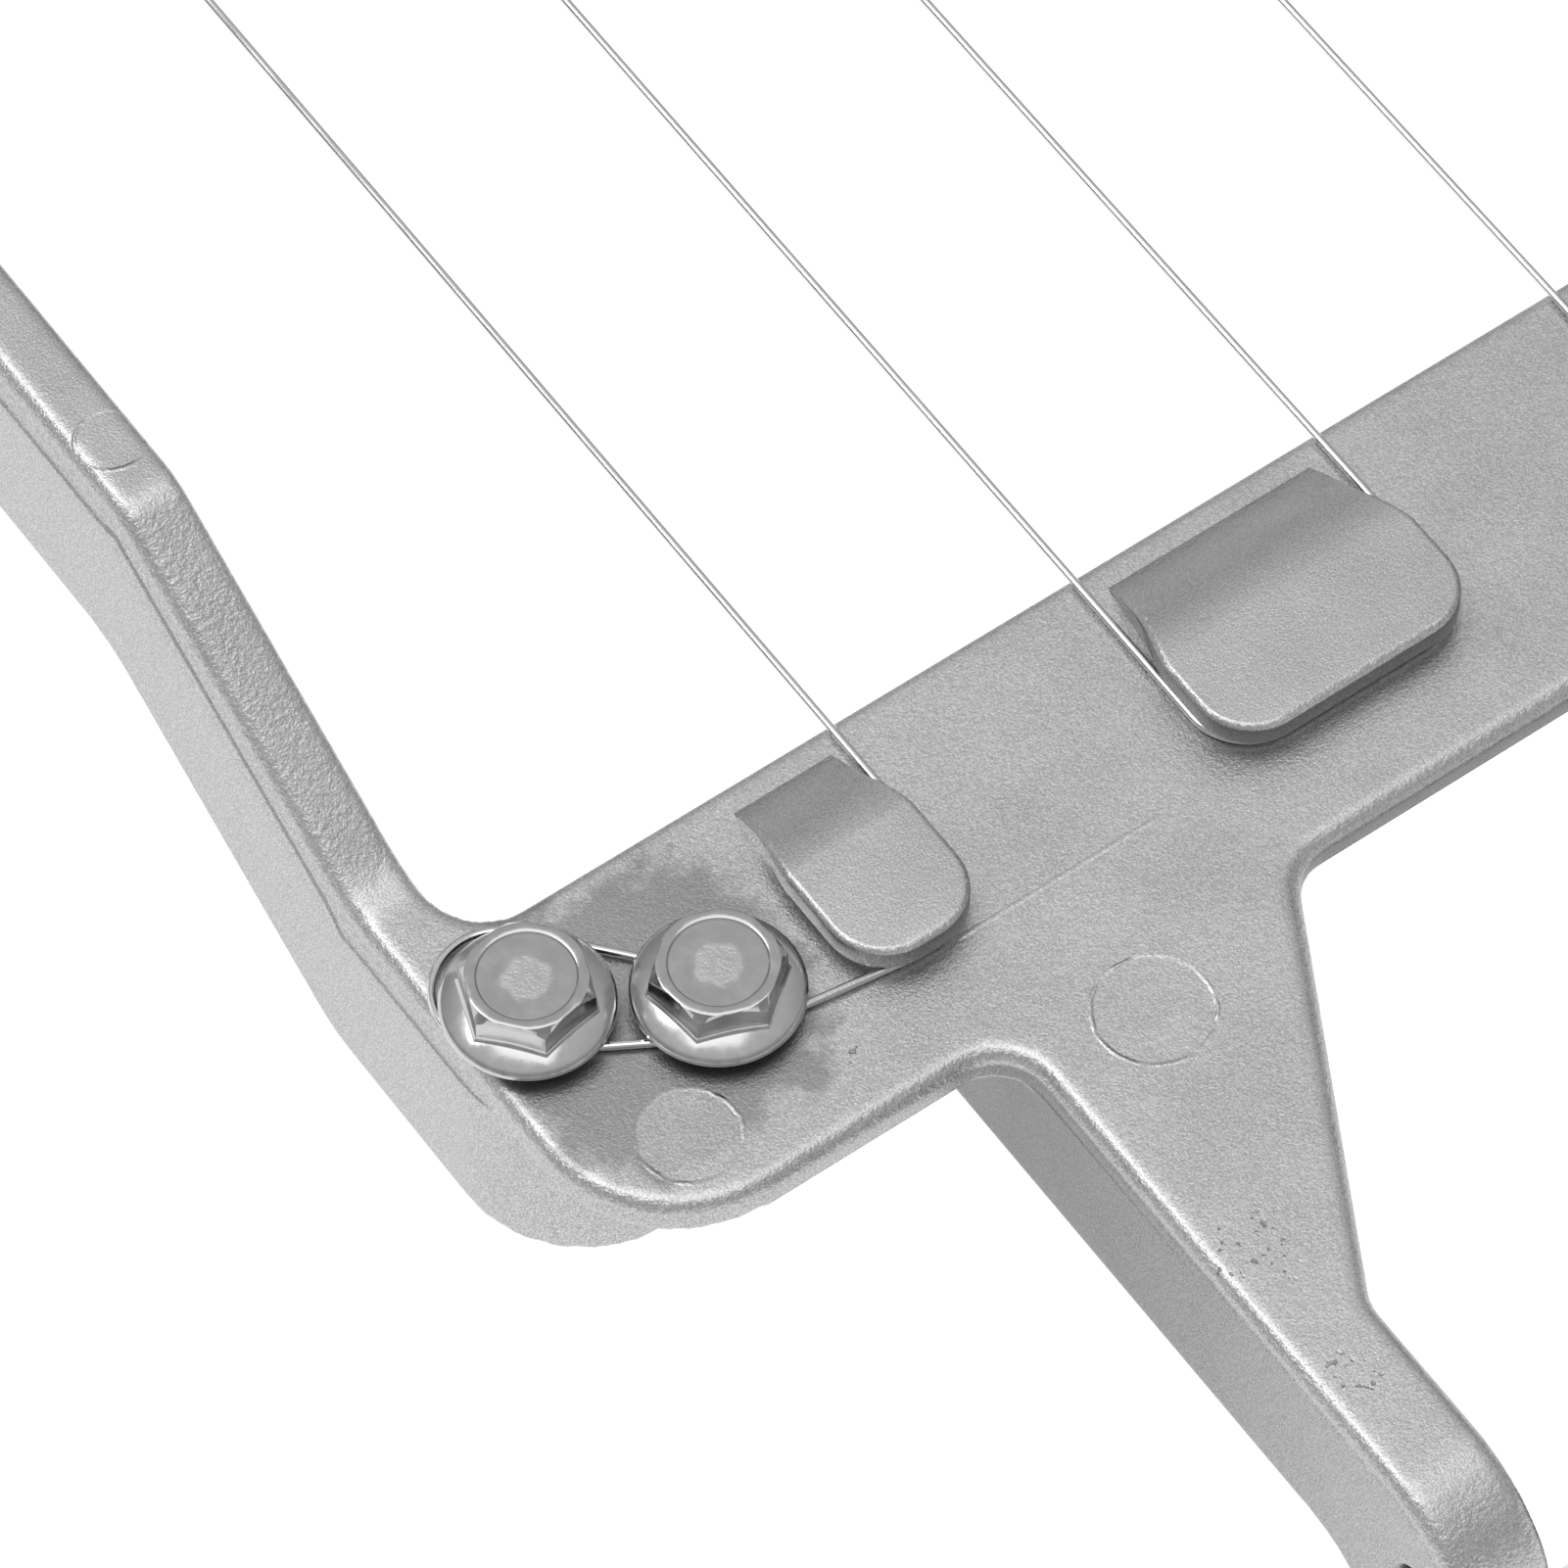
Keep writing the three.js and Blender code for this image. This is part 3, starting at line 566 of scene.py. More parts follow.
def lip_outline(height, overhang):
    """Side of a tab from its top over the lip to its root, as (offset, level). A low ramp has less lip."""
    shelf = min(tab_groove, height * 0.6)
    edge = min(lip_edge, (height - shelf) * 0.5)
    middle = 0.29 * edge  # the middle point of the rounded upper edge
    under = 0.3 * edge  # the small chamfer of the lower edge
    return [
        (-edge, height),
        (-middle, height - middle),
        (0.0, height - edge),
        (0.0, shelf + under),
        (-under, shelf),
        (-overhang, shelf),
        (-overhang, tab_root),
    ]


def hook_tab(bm, x, width, edge_y, facing, taper=tab_taper, flare=tab_flare):
    """One tab, in rows from its foot to its front corners; each row is an outline on both sides."""
    half = width / 2
    post = half - lip_over
    flare_start, flare_end = flare
    rows = []
    for k in range(foot_rows + 1):
        depth = tab_start + (flare_end - tab_start) * k / foot_rows
        opened = max(0.0, (depth - flare_start) / (flare_end - flare_start))
        wall = post - taper * (flare_end - depth) / (flare_end - tab_start)
        lip = wall + lip_over * opened * opened * (3 - 2 * opened)
        rows.append((lip, depth, wall, 0.0))
    for k in range(corner_rows + 1):
        rows.append((half, tab_front - tab_corner, post, math.pi / 2 * k / corner_rows))
    sections = []
    for lip, depth, wall, angle in rows:
        height = ramp_height(depth + tab_corner * math.sin(angle))
        section = []
        for offset, level in lip_outline(height, max(lip - wall, least_over)):
            reach = (tab_corner + offset) * math.cos(angle) + lip - tab_corner
            ahead = depth + (tab_corner + offset) * math.sin(angle)
            left = bm.verts.new(on_arm(x - reach, edge_y + facing * ahead, level))
            right = bm.verts.new(on_arm(x + reach, edge_y + facing * ahead, level))
            section.append((left, right))
        sections.append(section)
    for a, b in zip(sections, sections[1:]):
        for k in (0, -1):
            bm.faces.new((a[k][0], a[k][1], b[k][1], b[k][0]))
        for k in range(len(a) - 1):
            for side in (0, 1):
                bm.faces.new((a[k][side], a[k + 1][side], b[k + 1][side], b[k][side]))
    for end in (sections[0], sections[-1]):
        for upper, lower in zip(end, end[1:]):
            bm.faces.new((upper[0], upper[1], lower[1], lower[0]))


bm = bmesh.new()
for x in (-end_tab_x, end_tab_x):
    hook_tab(bm, x, end_tab_width, 0, -1, end_tab_taper, end_tab_flare)
for x in near_tabs:
    hook_tab(bm, x, tab_width, 0, -1)
for x in far_tabs:
    hook_tab(bm, x, tab_width, wire_span, 1)
tabs = finished("hook_tabs", bm, cast_metal, "arm", [], sharp=50)
tabs.modifiers.new("flat_faces", "WEIGHTED_NORMAL").keep_sharp = True


# Cutting wire
# One continuous length of bright stainless wire, looped round the outer bolt and clamped under both
# bolts at each near corner. It zigzags between the crossbars and turns under the tabs' lips.
wire_radius = 0.29
wire_level = 0.6
wire_turn = 4.4
wire_turn_depth = 13.5
wire_half = 10.05
end_wire_half = 4.95
shank_turn = 3.1
loop_turn = 4.5
loop_shift = (0.53, 2.3)
tail_shift = (0.8, 3.5)
wire_sides = 14


def pulled_round(circles, step=0.1):
    """Line pulled tight round circles (x, y, radius, +1 left turn or -1 right turn)."""
    leaving = {}
    arriving = {}
    for i, ((ax, ay, ar, at), (bx, by, br, bt)) in enumerate(zip(circles, circles[1:])):
        heading = math.atan2(by - ay, bx - ax)
        tilt = math.asin((at * ar - bt * br) / math.hypot(bx - ax, by - ay))
        leaving[i] = heading + tilt - at * math.pi / 2
        arriving[i + 1] = heading + tilt - bt * math.pi / 2
    route = []
    for i, (x, y, radius, turn) in enumerate(circles):
        if radius == 0:
            route.append(Vector((x, y, wire_level)))
            continue
        sweep = ((leaving[i] - arriving[i]) * turn) % (2 * math.pi)
        steps = max(2, math.ceil(sweep / step))
        for k in range(steps + 1):
            angle = arriving[i] + turn * sweep * k / steps
            route.append(Vector((x + radius * math.cos(angle), y + radius * math.sin(angle), wire_level)))
    return route


def tab_turns(x, half, edge_y, facing):
    """The two bends of the wire round one tab."""
    offset = half - wire_turn
    y = edge_y + facing * wire_turn_depth
    return [(x - offset, y, wire_turn, -facing), (x + offset, y, wire_turn, -facing)]


(outer_x, outer_y), (inner_x, inner_y) = bolt_places
start = [
    (-inner_x - tail_shift[0], inner_y + tail_shift[1], 0, 1),
    (-outer_x - loop_shift[0], outer_y + loop_shift[1], loop_turn, 1),
    (-outer_x, outer_y, shank_turn, 1),
    (-inner_x, inner_y, shank_turn, 1),
]
start += tab_turns(-end_tab_x, end_wire_half, 0, -1)
middle = []
for x in far_tabs:
    middle += tab_turns(x, wire_half, wire_span, 1)
    if x < far_tabs[-1]:
        middle += tab_turns(x + wire_pitch, wire_half, 0, -1)
end = [(-x, y, radius, turn) for x, y, radius, turn in reversed(start)]
route = pulled_round(start + middle + end)

bm = bmesh.new()
sections = []
for i, point in enumerate(route):
    along = (route[min(i + 1, len(route) - 1)] - route[max(i - 1, 0)]).normalized()
    outward = Vector((along.y, -along.x, 0))
    section = []
    for k in range(wire_sides):
        angle = 2 * math.pi * k / wire_sides
        spot = point + (outward * math.cos(angle) + Vector((0, 0, 1)) * math.sin(angle)) * wire_radius
        section.append(bm.verts.new(on_arm(*spot)))
    sections.append(section)
for a, b in zip(sections, sections[1:]):
    for k in range(wire_sides):
        j = (k + 1) % wire_sides
        bm.faces.new((a[k], a[j], b[j], b[k]))
bm.faces.new(sections[0])
bm.faces.new(sections[-1])

wire_steel, tree, surface, place = shader("drawn_wire")
along_wire = add(tree, "ShaderNodeMapping", {0: place, "Scale": (6000.0, 250.0, 6000.0)}).outputs[0]
drawn = noise(tree, along_wire, 1.0)
shine = blend(tree, drawn, grey(0.66), grey(0.80))
dress(tree, surface, shine, spread(tree, drawn, 0.12, 0.22), metallic=1.0)
bumped(tree, surface, drawn, 0.002 * MM)
finished("wire", bm, wire_steel, "arm", ["cutting_wire"])


# Clamp bolts
# Cold-headed hexagon flange bolts in bright plate. The head is dished inside a narrow rim, with a
# rough round patch in the middle, and a coned flange below it bears on the wire.
hands = (("left", -1), ("right", 1))
bolt_flats = 8.0
shank_radius = 2.5
shank_end = -9.8
flange_radius = 5.8
flange_low = 1.2
flange_edge = 0.7
cone_foot = 0.12
cone_slope = 0.42
head_top = 4.9
head_edge = 0.05
chamfer_radius = 4.05
chamfer_slope = 1.2
dish_radius = 3.35
dish_depth = 0.16
bolt_turns = {"outer": -20.0, "inner": 8.0}


def hexagon_reach(angle, flats):
    """Distance from a hexagon's middle to its side, in one direction."""
    return flats / 2 / math.cos((angle + math.pi / 6) % (math.pi / 3) - math.pi / 6)


def hexagon(angle):
    return hexagon_reach(angle, bolt_flats)


def cone_level(radius):
    """Level of the flange's coned upper face."""
    return flange_low + flange_edge + cone_foot + (flange_radius - radius) * cone_slope


def chamfer_level(angle):
    """Level where the round chamfer of the head meets the hexagon."""
    return head_top - head_edge - max(0.0, hexagon(angle) - chamfer_radius) * chamfer_slope


def revolve(bm, profile, place, steps=48):
    """Closed turned solid; each section is (radius, level), and either may be a function of the angle."""
    rings = []
    for radius, level in profile:
        ring = []
        for k in range(steps):
            angle = 2 * math.pi * k / steps
            r = radius(angle) if callable(radius) else radius
            z = level(angle) if callable(level) else level
            ring.append(bm.verts.new(place(r * math.cos(angle), r * math.sin(angle), z)))
        rings.append(ring)
    for a, b in zip(rings, rings[1:]):
        for k in range(steps):
            j = (k + 1) % steps
            bm.faces.new((a[k], a[j], b[j], b[k]))
    bm.faces.new(rings[0])
    bm.faces.new(rings[-1])


def own_place(u, v, level):
    return Vector((u, v, level)) * MM


headed, tree, surface, place = shader("headed_plate")
from_axis = vector_calc(tree, "LENGTH", vector_calc(tree, "MULTIPLY", place, (1, 1, 0)), out="Value")
haze = noise(tree, place, 900.0, 4.0, 0.6)
speckle = noise(tree, place, 5200.0)
level = add(tree, "ShaderNodeSeparateXYZ", {0: place}).outputs[2]
high_up = fade(tree, level, (head_top - 0.5) * MM, (head_top - 0.3) * MM)
torn = plus(tree, from_axis, noise(tree, place, 650.0, 3.0), 1.6 * MM)
patch = times(tree, fade_out(tree, torn, 2.2 * MM, 2.8 * MM), high_up)
shine = blend(tree, haze, grey(0.50), grey(0.64))
shine = blend(tree, times(tree, high_up, 0.25), shine, grey(0.30))
shine = blend(tree, times(tree, patch, 0.4), shine, grey(0.66))
polish = plus(tree, spread(tree, haze, 0.14, 0.24), patch, 0.12)
dress(tree, surface, shine, polish, metallic=1.0)
ripple = times(tree, haze, 0.014 * MM)
bumped(tree, surface, plus(tree, ripple, times(tree, speckle, patch), 0.030 * MM))

bolt_profile = [
    # Shank and the flange's underside
    (shank_radius, shank_end),
    (shank_radius, flange_low),
    (flange_radius - 0.2, flange_low),
    # Rounded edge of the flange and its cone
    (flange_radius, flange_low + 0.2),
    (flange_radius, flange_low + flange_edge - 0.15),
    (flange_radius - 0.12, flange_low + flange_edge + 0.06),
    (flange_radius - 0.3, cone_level(flange_radius - 0.3)),
    # Hexagon, with a fillet at its foot
    (lambda a: hexagon(a) + 0.25, lambda a: cone_level(hexagon(a) + 0.25)),
    (lambda a: hexagon(a) + 0.07, lambda a: cone_level(hexagon(a)) + 0.1),
    (hexagon, lambda a: cone_level(hexagon(a)) + 0.3),
    # Round chamfer and the narrow rim
    (hexagon, lambda a: chamfer_level(a) - 0.12),
    (lambda a: hexagon(a) - 0.03, chamfer_level),
    (lambda a: min(hexagon(a) - 0.06, chamfer_radius), head_top - 0.03),
    (lambda a: min(hexagon(a) - 0.14, chamfer_radius - 0.1), head_top),
    # Dished top
    (dish_radius + 0.12, head_top),
    (dish_radius, head_top - 0.04),
    (dish_radius - 0.12, head_top - dish_depth),
    (0.3, head_top - dish_depth),
]
for hand, side in hands:
    for kind, (x, y) in zip(bolt_turns, bolt_places):
        label = kind + "_" + hand
        turn = math.radians(-side * bolt_turns[kind])
        stand = on_arm(side * x, y, 0)
        bm = bmesh.new()
        revolve(bm, bolt_profile, own_place, steps=96)
        finished("bolt_" + label, bm, headed, "arm", ["clamp_bolt_" + label], stand, turn)


# Grip
# A black moulded barrel with turned rings near its ends, on a steel rod between the prongs that a
# black set screw holds at each end.
rod_low, rod_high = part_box("grip_rod")
grip_axis = (rod_low + rod_high) / 2
grip_half = 53.0
grip_radius = 9.0
grip_end_radius = 6.5
grip_fullness = 4
grip_steps = 160
ring_places = (34.0, 37.5, 41.0)
ring_depth = 0.4
ring_width = 0.6
rod_half = rod_high.x / MM
rod_radius = 2.5
rod_chamfer = 0.4
sleeve_bore = rod_radius + 0.3
set_screw_radius = 1.5
set_screw_in = 61.7
set_screw_out = 73.5
socket_flats = 1.56
socket_depth = 1.7


def across_arm(axis, side=1):
    """Place for turned pieces whose axis runs across the arm, to one side of a point on it."""
    def place(u, v, level):
        return axis + Vector((side * level, u, v)) * MM
    return place


def rod(radius, half):
    """Profile of a plain rod with chamfered ends."""
    ends = half - rod_chamfer
    return [(radius - rod_chamfer, -half), (radius, -ends), (radius, ends), (radius - rod_chamfer, half)]


def socket(angle):
    return hexagon_reach(angle, socket_flats)


moulded, tree, surface, place = shader("moulded_grip")
texture = use(tree, grain, {"Vector": place, "Size": 0.4 * MM})
cloud = texture["Cloud"]
dress(tree, surface, blend(tree, cloud, grey(0.018), grey(0.036)), spread(tree, cloud, 0.42, 0.58))
bumped(tree, surface, texture["Height"], 0.04 * MM)

barrel = [(sleeve_bore, -grip_half)]
for k in range(grip_steps + 1):
    along = -grip_half + 2 * grip_half * k / grip_steps
    swelling = math.sqrt(max(0.0, 1 - abs(along / grip_half) ** grip_fullness))
    groove = sum(ring_depth * math.exp(-((abs(along) - at) / ring_width) ** 2) for at in ring_places)
    barrel.append((grip_end_radius + (grip_radius - grip_end_radius) * swelling - groove, along))
barrel.append((sleeve_bore, grip_half))
bm = bmesh.new()
revolve(bm, barrel, across_arm(grip_axis), steps=64)
finished("grip_barrel", bm, moulded, "arm", ["grip_sleeve"])

plated, tree, surface, place = shader("bright_plate")
haze = noise(tree, place, 900.0, 4.0, 0.6)
scratch_way = add(tree, "ShaderNodeMapping", {0: place, "Scale": (900.0, 5200.0, 2400.0)}).outputs[0]
scratch = noise(tree, scratch_way, 1.0, 3.0)
shine = blend(tree, haze, grey(0.58), grey(0.74))
dress(tree, surface, shine, spread(tree, scratch, 0.14, 0.26), metallic=1.0)
ripple = times(tree, haze, 0.012 * MM)
bumped(tree, surface, plus(tree, ripple, scratch, 0.004 * MM))

bm = bmesh.new()
revolve(bm, rod(rod_radius, rod_half), across_arm(grip_axis))
finished("grip_bar", bm, plated, "arm", ["grip_rod"])

oxide, tree, surface, place = shader("black_oxide")
haze = noise(tree, place, 2200.0, 3.0)
dress(tree, surface, blend(tree, haze, grey(0.02), grey(0.06)), spread(tree, haze, 0.35, 0.6), metallic=0.7)
bumped(tree, surface, haze, 0.01 * MM)

set_screw = [
    (set_screw_radius - 0.4, set_screw_in),
    (set_screw_radius, set_screw_in + 0.5),
    (set_screw_radius, set_screw_out - 0.3),
    (set_screw_radius - 0.3, set_screw_out),
    (socket, set_screw_out),
    (socket, set_screw_out - socket_depth),
    (0.2, set_screw_out - socket_depth - 0.3),
]
for hand, side in hands:
    bm = bmesh.new()
    revolve(bm, set_screw, across_arm(grip_axis, side), steps=36)
    finished("set_screw_" + hand, bm, oxide, "arm", ["grip_screw_" + hand])


# Base casting
# A low plinth with a raised bed, slotted so that the wires pass below what they have cut, and two
# lugs for the hinge. The same blasted aluminium as the arm, without its marks.
base_low, base_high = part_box("base_casting")
plinth_half = base_high.x / MM
plinth_low = base_low.z / MM
plinth_top = plinth_low + 16.5
plinth_rear = (base_low.y - hinge.y) / MM
plinth_front = (base_high.y - hinge.y) / MM
plinth_corner = 14.0
bed_half = 94.7
bed_near = 49.0
bed_far = 241.0
bed_top = base_high.z / MM
bed_floor = bed_top - 8.1
bed_corner = 3.0
bar_corner = 0.6
overlap = 1.0
wire_count = 8
slot_half = 1.5
lug_in = 85.1
lug_out = 97.1
lug_foot = 14.0
lug_bend = 6.0
lug_bend_drop = 4.2
lug_round = 8.4
hinge_z = hinge.z / MM
base_edge = 0.9


def on_base(x, y, z):
    return Vector((x, hinge.y / MM + y, z)) * MM


def beside_base(y, z, x):
    return on_base(x, y, z)


def rectangle(left, right, near, far, radius, steps=10):
    corners = ((left, near), (right, near), (right, far), (left, far))
    return rounded([(x, y, radius) for x, y in corners], steps)


def soften(piece, width, segments=3, angle=32):
    """Rounds every edge sharper than the angle, and keeps flat faces flat."""
    bevel = piece.modifiers.new("rounded_edges", "BEVEL")
    bevel.width = width * MM
    bevel.segments = segments
    bevel.limit_method = "ANGLE"
    bevel.angle_limit = math.radians(angle)
    bevel.harden_normals = True


base_metal, tree, surface, place = shader("blasted_aluminium_base")
texture = use(tree, grain, {"Vector": place, "Size": 0.21 * MM})
tone = blend(tree, texture["Facets"], grey(0.50), grey(0.62))
dress(tree, surface, tone, spread(tree, texture["Cloud"], 0.36, 0.42), metallic=1.0)
bumped(tree, surface, texture["Height"], grain_relief)

bm = bmesh.new()
plinth = rectangle(-plinth_half, plinth_half, plinth_rear, plinth_front, plinth_corner)
prism(bm, plinth, plinth_low, plinth_top, on_base)
bed = rectangle(-bed_half, bed_half, bed_near, bed_far, bed_corner)
prism(bm, bed, plinth_top - overlap, bed_floor, on_base)
edges = [-bed_half]
for wire in range(wire_count):
    x = (wire - (wire_count - 1) / 2) * wire_pitch
    edges += [x - slot_half, x + slot_half]
edges.append(bed_half)
for left, right in zip(edges[::2], edges[1::2]):
    bar = rectangle(left, right, bed_near, bed_far, bar_corner, 4)
    prism(bm, bar, bed_floor - overlap, bed_top, on_base)
lug = rounded([
    (-eye_radius, plinth_top - overlap, 0),
    (eye_radius + lug_foot, plinth_top - overlap, 0),
    (eye_radius, hinge_z - lug_bend_drop, lug_bend),
    (eye_radius, hinge_z + eye_radius, lug_round),
    (-eye_radius, hinge_z + eye_radius, lug_round),
])
for side in (-1, 1):
    upright(bm, lug, side, lug_in, lug_out, beside_base)
base = finished("slotted_base", bm, base_metal, "base", ["base_casting"])
soften(base, base_edge)


# Bottom cover
# Satin steel sheet that closes the base from below, held by the foot screws. Its rolling marks run
# from front to back.
sheet, tree, surface, place = shader("satin_sheet")
rolled = add(tree, "ShaderNodeMapping", {0: place, "Scale": (3000.0, 40.0, 40.0)}).outputs[0]
brushed = noise(tree, rolled, 1.0, 3.0)
satin = blend(tree, brushed, grey(0.46), grey(0.62))
dress(tree, surface, satin, spread(tree, brushed, 0.3, 0.45), metallic=1.0)
bumped(tree, surface, brushed, 0.01 * MM)
cover = frame["nodes"]["bottom_cover"]
cover.data.materials.clear()
cover.data.materials.append(sheet)


# Feet, foot screws and stop bumpers
# Moulded black rubber with a slight draft. Each foot has a recess for the pan head of its screw, and
# a bumper stands on either side of the bed for the closed arm's rails.
foot_radius = 9.9
foot_height = 7.7
foot_bore = 2.3
sole_radius = 7.8
recess_radius = 4.4
recess_top = 4.0
screw_radius = 2.0
screw_tip = 21.6
pan_radius = 3.8
pan_low = 1.55
pan_seat = 3.7
drive_radius = 0.9
drive_top = 2.6
bumper_radius = 6.0
bumper_seat = plinth_top + 0.3
stem_radius = 2.2
stem_low = 22.0

rubber, tree, surface, place = shader("moulded_rubber")
texture = use(tree, grain, {"Vector": place, "Size": 0.6 * MM})
cloud = texture["Cloud"]
dress(tree, surface, blend(tree, cloud, grey(0.016), grey(0.032)), spread(tree, cloud, 0.72, 0.88))
bumped(tree, surface, texture["Height"], 0.05 * MM)


def stand_below(node):
    """Point on the table below the middle of a CAD node."""
    low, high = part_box(node)
    return Vector(((low.x + high.x) / 2, (low.y + high.y) / 2, 0))


foot = [
    (foot_bore, recess_top),
    (recess_radius - 0.2, recess_top),
    (recess_radius, recess_top - 0.2),
    (recess_radius, 0.4),
    (recess_radius + 0.3, 0.0),
    (sole_radius, 0.0),
    (sole_radius + 0.5, 0.4),
    (sole_radius + 0.8, 1.6),
    (foot_radius - 1.0, 1.9),
    (foot_radius, foot_height - 0.5),
    (foot_radius - 0.4, foot_height),
    (foot_bore, foot_height),
]
foot_screw = [
    (drive_radius, drive_top),
    (drive_radius + 0.05, pan_low + 0.05),
    (pan_radius - 1.2, pan_low),
    (pan_radius - 0.4, pan_low + 0.35),
    (pan_radius, pan_low + 1.05),
    (pan_radius, pan_seat - 0.1),
    (pan_radius - 0.1, pan_seat),
    (screw_radius, pan_seat),
    (screw_radius, screw_tip - 0.6),
    (screw_radius - 0.6, screw_tip),
]
for corner in ("front_left", "front_right", "rear_left", "rear_right"):
    stand = stand_below("foot_" + corner)
    bm = bmesh.new()
    revolve(bm, foot, own_place)
    finished("rubber_" + corner, bm, rubber, "base", ["foot_" + corner], stand)
    bm = bmesh.new()
    revolve(bm, foot_screw, own_place, steps=36)
    finished("screw_" + corner, bm, plated, "base", ["foot_screw_" + corner], stand)

for hand in ("left", "right"):
    stand = stand_below("stop_bumper_" + hand)
    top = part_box("stop_bumper_" + hand)[1].z / MM
    bumper = [
        (stem_radius, stem_low),
        (stem_radius, bumper_seat),
        (bumper_radius - 0.3, bumper_seat),
        (bumper_radius, bumper_seat + 0.3),
        (bumper_radius, top - 1.2),
        (bumper_radius - 0.2, top - 0.6),
        (bumper_radius - 0.8, top - 0.1),
        (bumper_radius - 1.4, top),
        (0.4, top),
    ]
    bm = bmesh.new()
    revolve(bm, bumper, own_place)
    finished("bumper_" + hand, bm, rubber, "base", ["stop_bumper_" + hand], stand)


# Hinge
# A ground steel rod through the lugs, natural nylon bushes with flanges in the arm's eyes, and
# pressed dome caps on the rod's ends.
hinge_rod_radius = 3.0
hinge_rod_half = 111.0
bush_bore = 3.3
bush_radius = 5.0
bush_flange = 7.4
bush_in = 97.4
bush_shoulder = 98.4
bush_out = 106.7
cap_brim = 6.0
cap_radius = 5.0
cap_in = 107.0
cap_out = 113.0
cream = (0.66, 0.64, 0.58, 1.0)
milk = (0.76, 0.74, 0.69, 1.0)

nylon, tree, surface, place = shader("natural_nylon")
haze = noise(tree, place, 420.0, 3.0)
dress(tree, surface, blend(tree, haze, cream, milk), spread(tree, haze, 0.4, 0.55))
bumped(tree, surface, haze, 0.02 * MM)
surface.inputs["Subsurface Weight"].default_value = 0.1

bm = bmesh.new()
revolve(bm, rod(hinge_rod_radius, hinge_rod_half), across_arm(hinge))
finished("hinge_bar", bm, plated, "base", ["hinge_rod"])

bush = [
    (bush_bore, bush_in),
    (bush_flange - 0.3, bush_in),
    (bush_flange, bush_in + 0.2),
    (bush_flange, bush_shoulder - 0.2),
    (bush_flange - 0.2, bush_shoulder),
    (bush_radius, bush_shoulder),
    (bush_radius, bush_out - 0.3),
    (bush_radius - 0.2, bush_out),
    (bush_bore, bush_out),
]
cap = [
    # Brim, just clear of the bush
    (bush_bore, cap_in),
    (cap_brim - 0.2, cap_in),
    (cap_brim, cap_in + 0.2),
    (cap_brim, cap_in + 0.8),
    (cap_brim - 0.3, cap_in + 1.0),
    # Dome over the rod's end
    (cap_radius + 0.1, cap_in + 1.2),
    (cap_radius, cap_in + 1.6),
    (cap_radius - 0.05, cap_out - 2.6),
    (cap_radius - 0.4, cap_out - 1.4),
    (cap_radius - 1.2, cap_out - 0.6),
    (cap_radius - 2.4, cap_out - 0.2),
    (cap_radius - 4.0, cap_out),
    (cap_radius - 4.8, cap_out),
]
for hand, side in hands:
    bm = bmesh.new()
    revolve(bm, bush, across_arm(hinge, side))
    finished("bush_" + hand, bm, nylon, "arm", ["hinge_bush_" + hand])
    bm = bmesh.new()
    revolve(bm, cap, across_arm(hinge, side))
    finished("dome_" + hand, bm, plated, "base", ["hinge_cap_" + hand])


# Studio
# A white floor with a glow of its own, and a grey room that is darker at the horizon. Two square
# soft lights hang over the near left corner of the arm, turned as diamonds.
floor_half = 15.0
soft_lights = (
    # Name, place above the lit corner in metres, size in metres, power in watts
    ("overhead", (-0.12, -0.10, 2.5), 2.0, 13.0),
    ("side", (-0.92, 1.22, 2.5), 1.2, 19.0),
)
lit_corner = on_arm(-80, 0, 0)
horizon_light = 0.33
zenith_light = 0.64

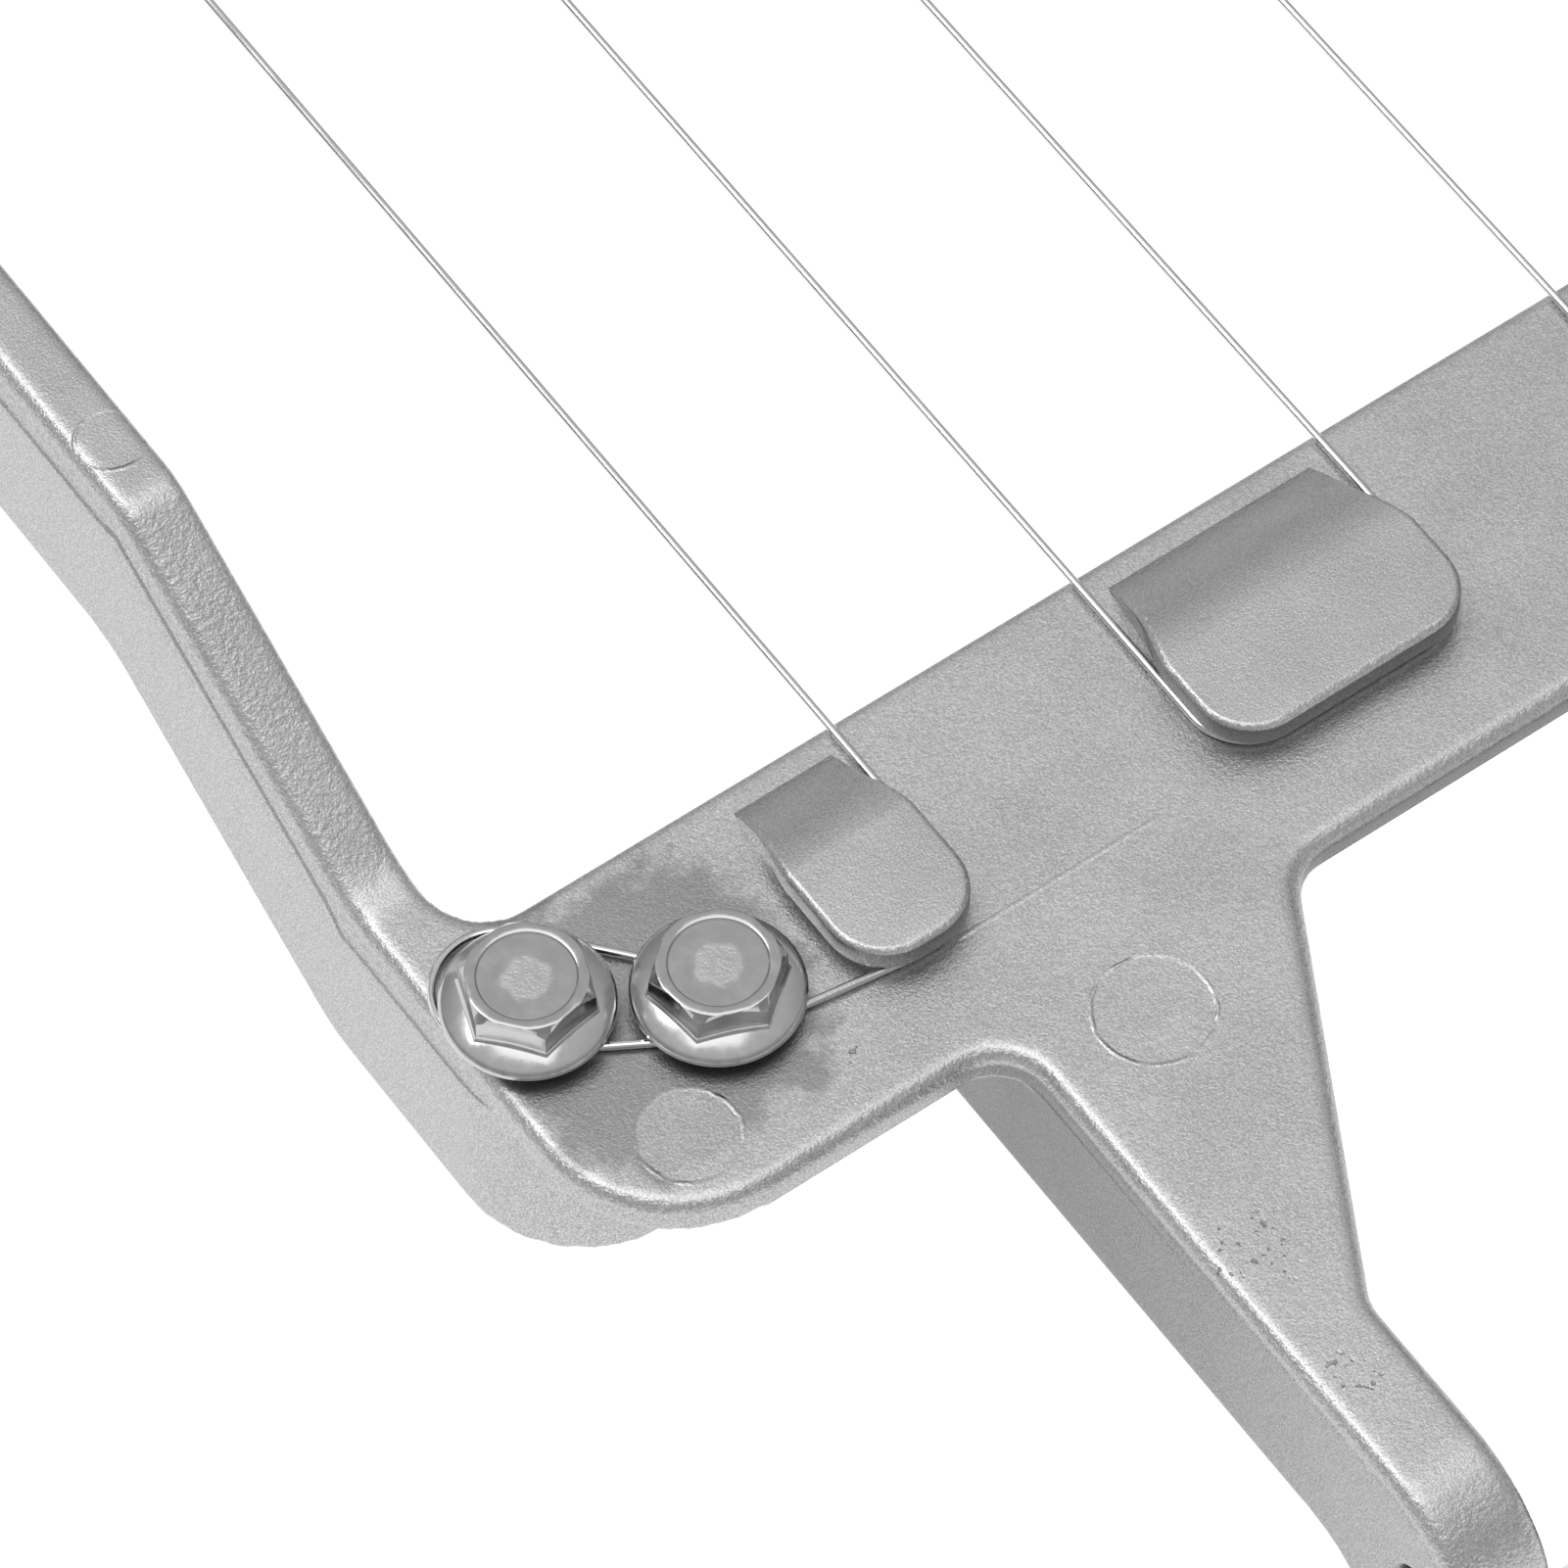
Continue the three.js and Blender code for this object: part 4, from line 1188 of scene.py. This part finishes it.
floor_mesh = bpy.data.meshes.new("floor")
floor_corners = [(x * floor_half, y * floor_half, 0) for x, y in ((-1, -1), (1, -1), (1, 1), (-1, 1))]
floor_mesh.from_pydata(floor_corners, [], [(0, 1, 2, 3)])
floor = bpy.data.objects.new("floor", floor_mesh)
bpy.context.scene.collection.objects.link(floor)
paper, tree, surface, place = shader("white_paper")
fibre = noise(tree, place, 900.0)
tree.links.new(blend(tree, fibre, grey(0.12), grey(0.14)), surface.inputs["Base Color"])
tree.links.new(blend(tree, fibre, grey(0.92), grey(0.95)), surface.inputs["Emission Color"])
surface.inputs["Emission Strength"].default_value = 1.06
surface.inputs["Roughness"].default_value = 0.9
floor.data.materials.append(paper)

world = bpy.data.worlds.new("studio")
bpy.context.scene.world = world
world.use_nodes = True
tree = world.node_tree
direction = add(tree, "ShaderNodeTexCoord").outputs["Generated"]
height = add(tree, "ShaderNodeSeparateXYZ", {0: direction}).outputs[2]
room_light = fade(tree, height, 0.05, 0.85, horizon_light, zenith_light)
tree.links.new(room_light, tree.nodes["Background"].inputs["Strength"])
tree.nodes["Background"].inputs["Color"].default_value = (1.0, 1.0, 1.0, 1.0)

for name, spot, size, power in soft_lights:
    light = bpy.data.lights.new(name, "AREA")
    light.shape = "SQUARE"
    light.size = size
    light.energy = power
    lamp = bpy.data.objects.new(name, light)
    lamp.location = lit_corner + Vector(spot)
    lamp.rotation_euler = (0, 0, math.radians(45))
    lamp.visible_camera = False
    bpy.context.scene.collection.objects.link(lamp)

# The camera looks down on the near left corner of the arm, from the front left
aim = on_arm(-74.68, -1.89, 0)
azimuth = math.radians(35.54)
elevation = math.radians(57.39)
camera_distance = 0.6947
level_look = Vector((math.sin(azimuth), math.cos(azimuth), 0)) * math.cos(elevation)
look = level_look - Vector((0, 0, math.sin(elevation)))
lens = bpy.data.cameras.new("close_up")
lens.sensor_width = 36.0
lens.lens = 243.9
lens.clip_start = 0.01
camera = bpy.data.objects.new("close_up", lens)
camera.location = aim - look * camera_distance
camera.rotation_euler = look.to_track_quat("-Z", "Y").to_euler()
bpy.context.scene.collection.objects.link(camera)
bpy.context.scene.camera = camera
bpy.context.scene.view_settings.view_transform = "Standard"
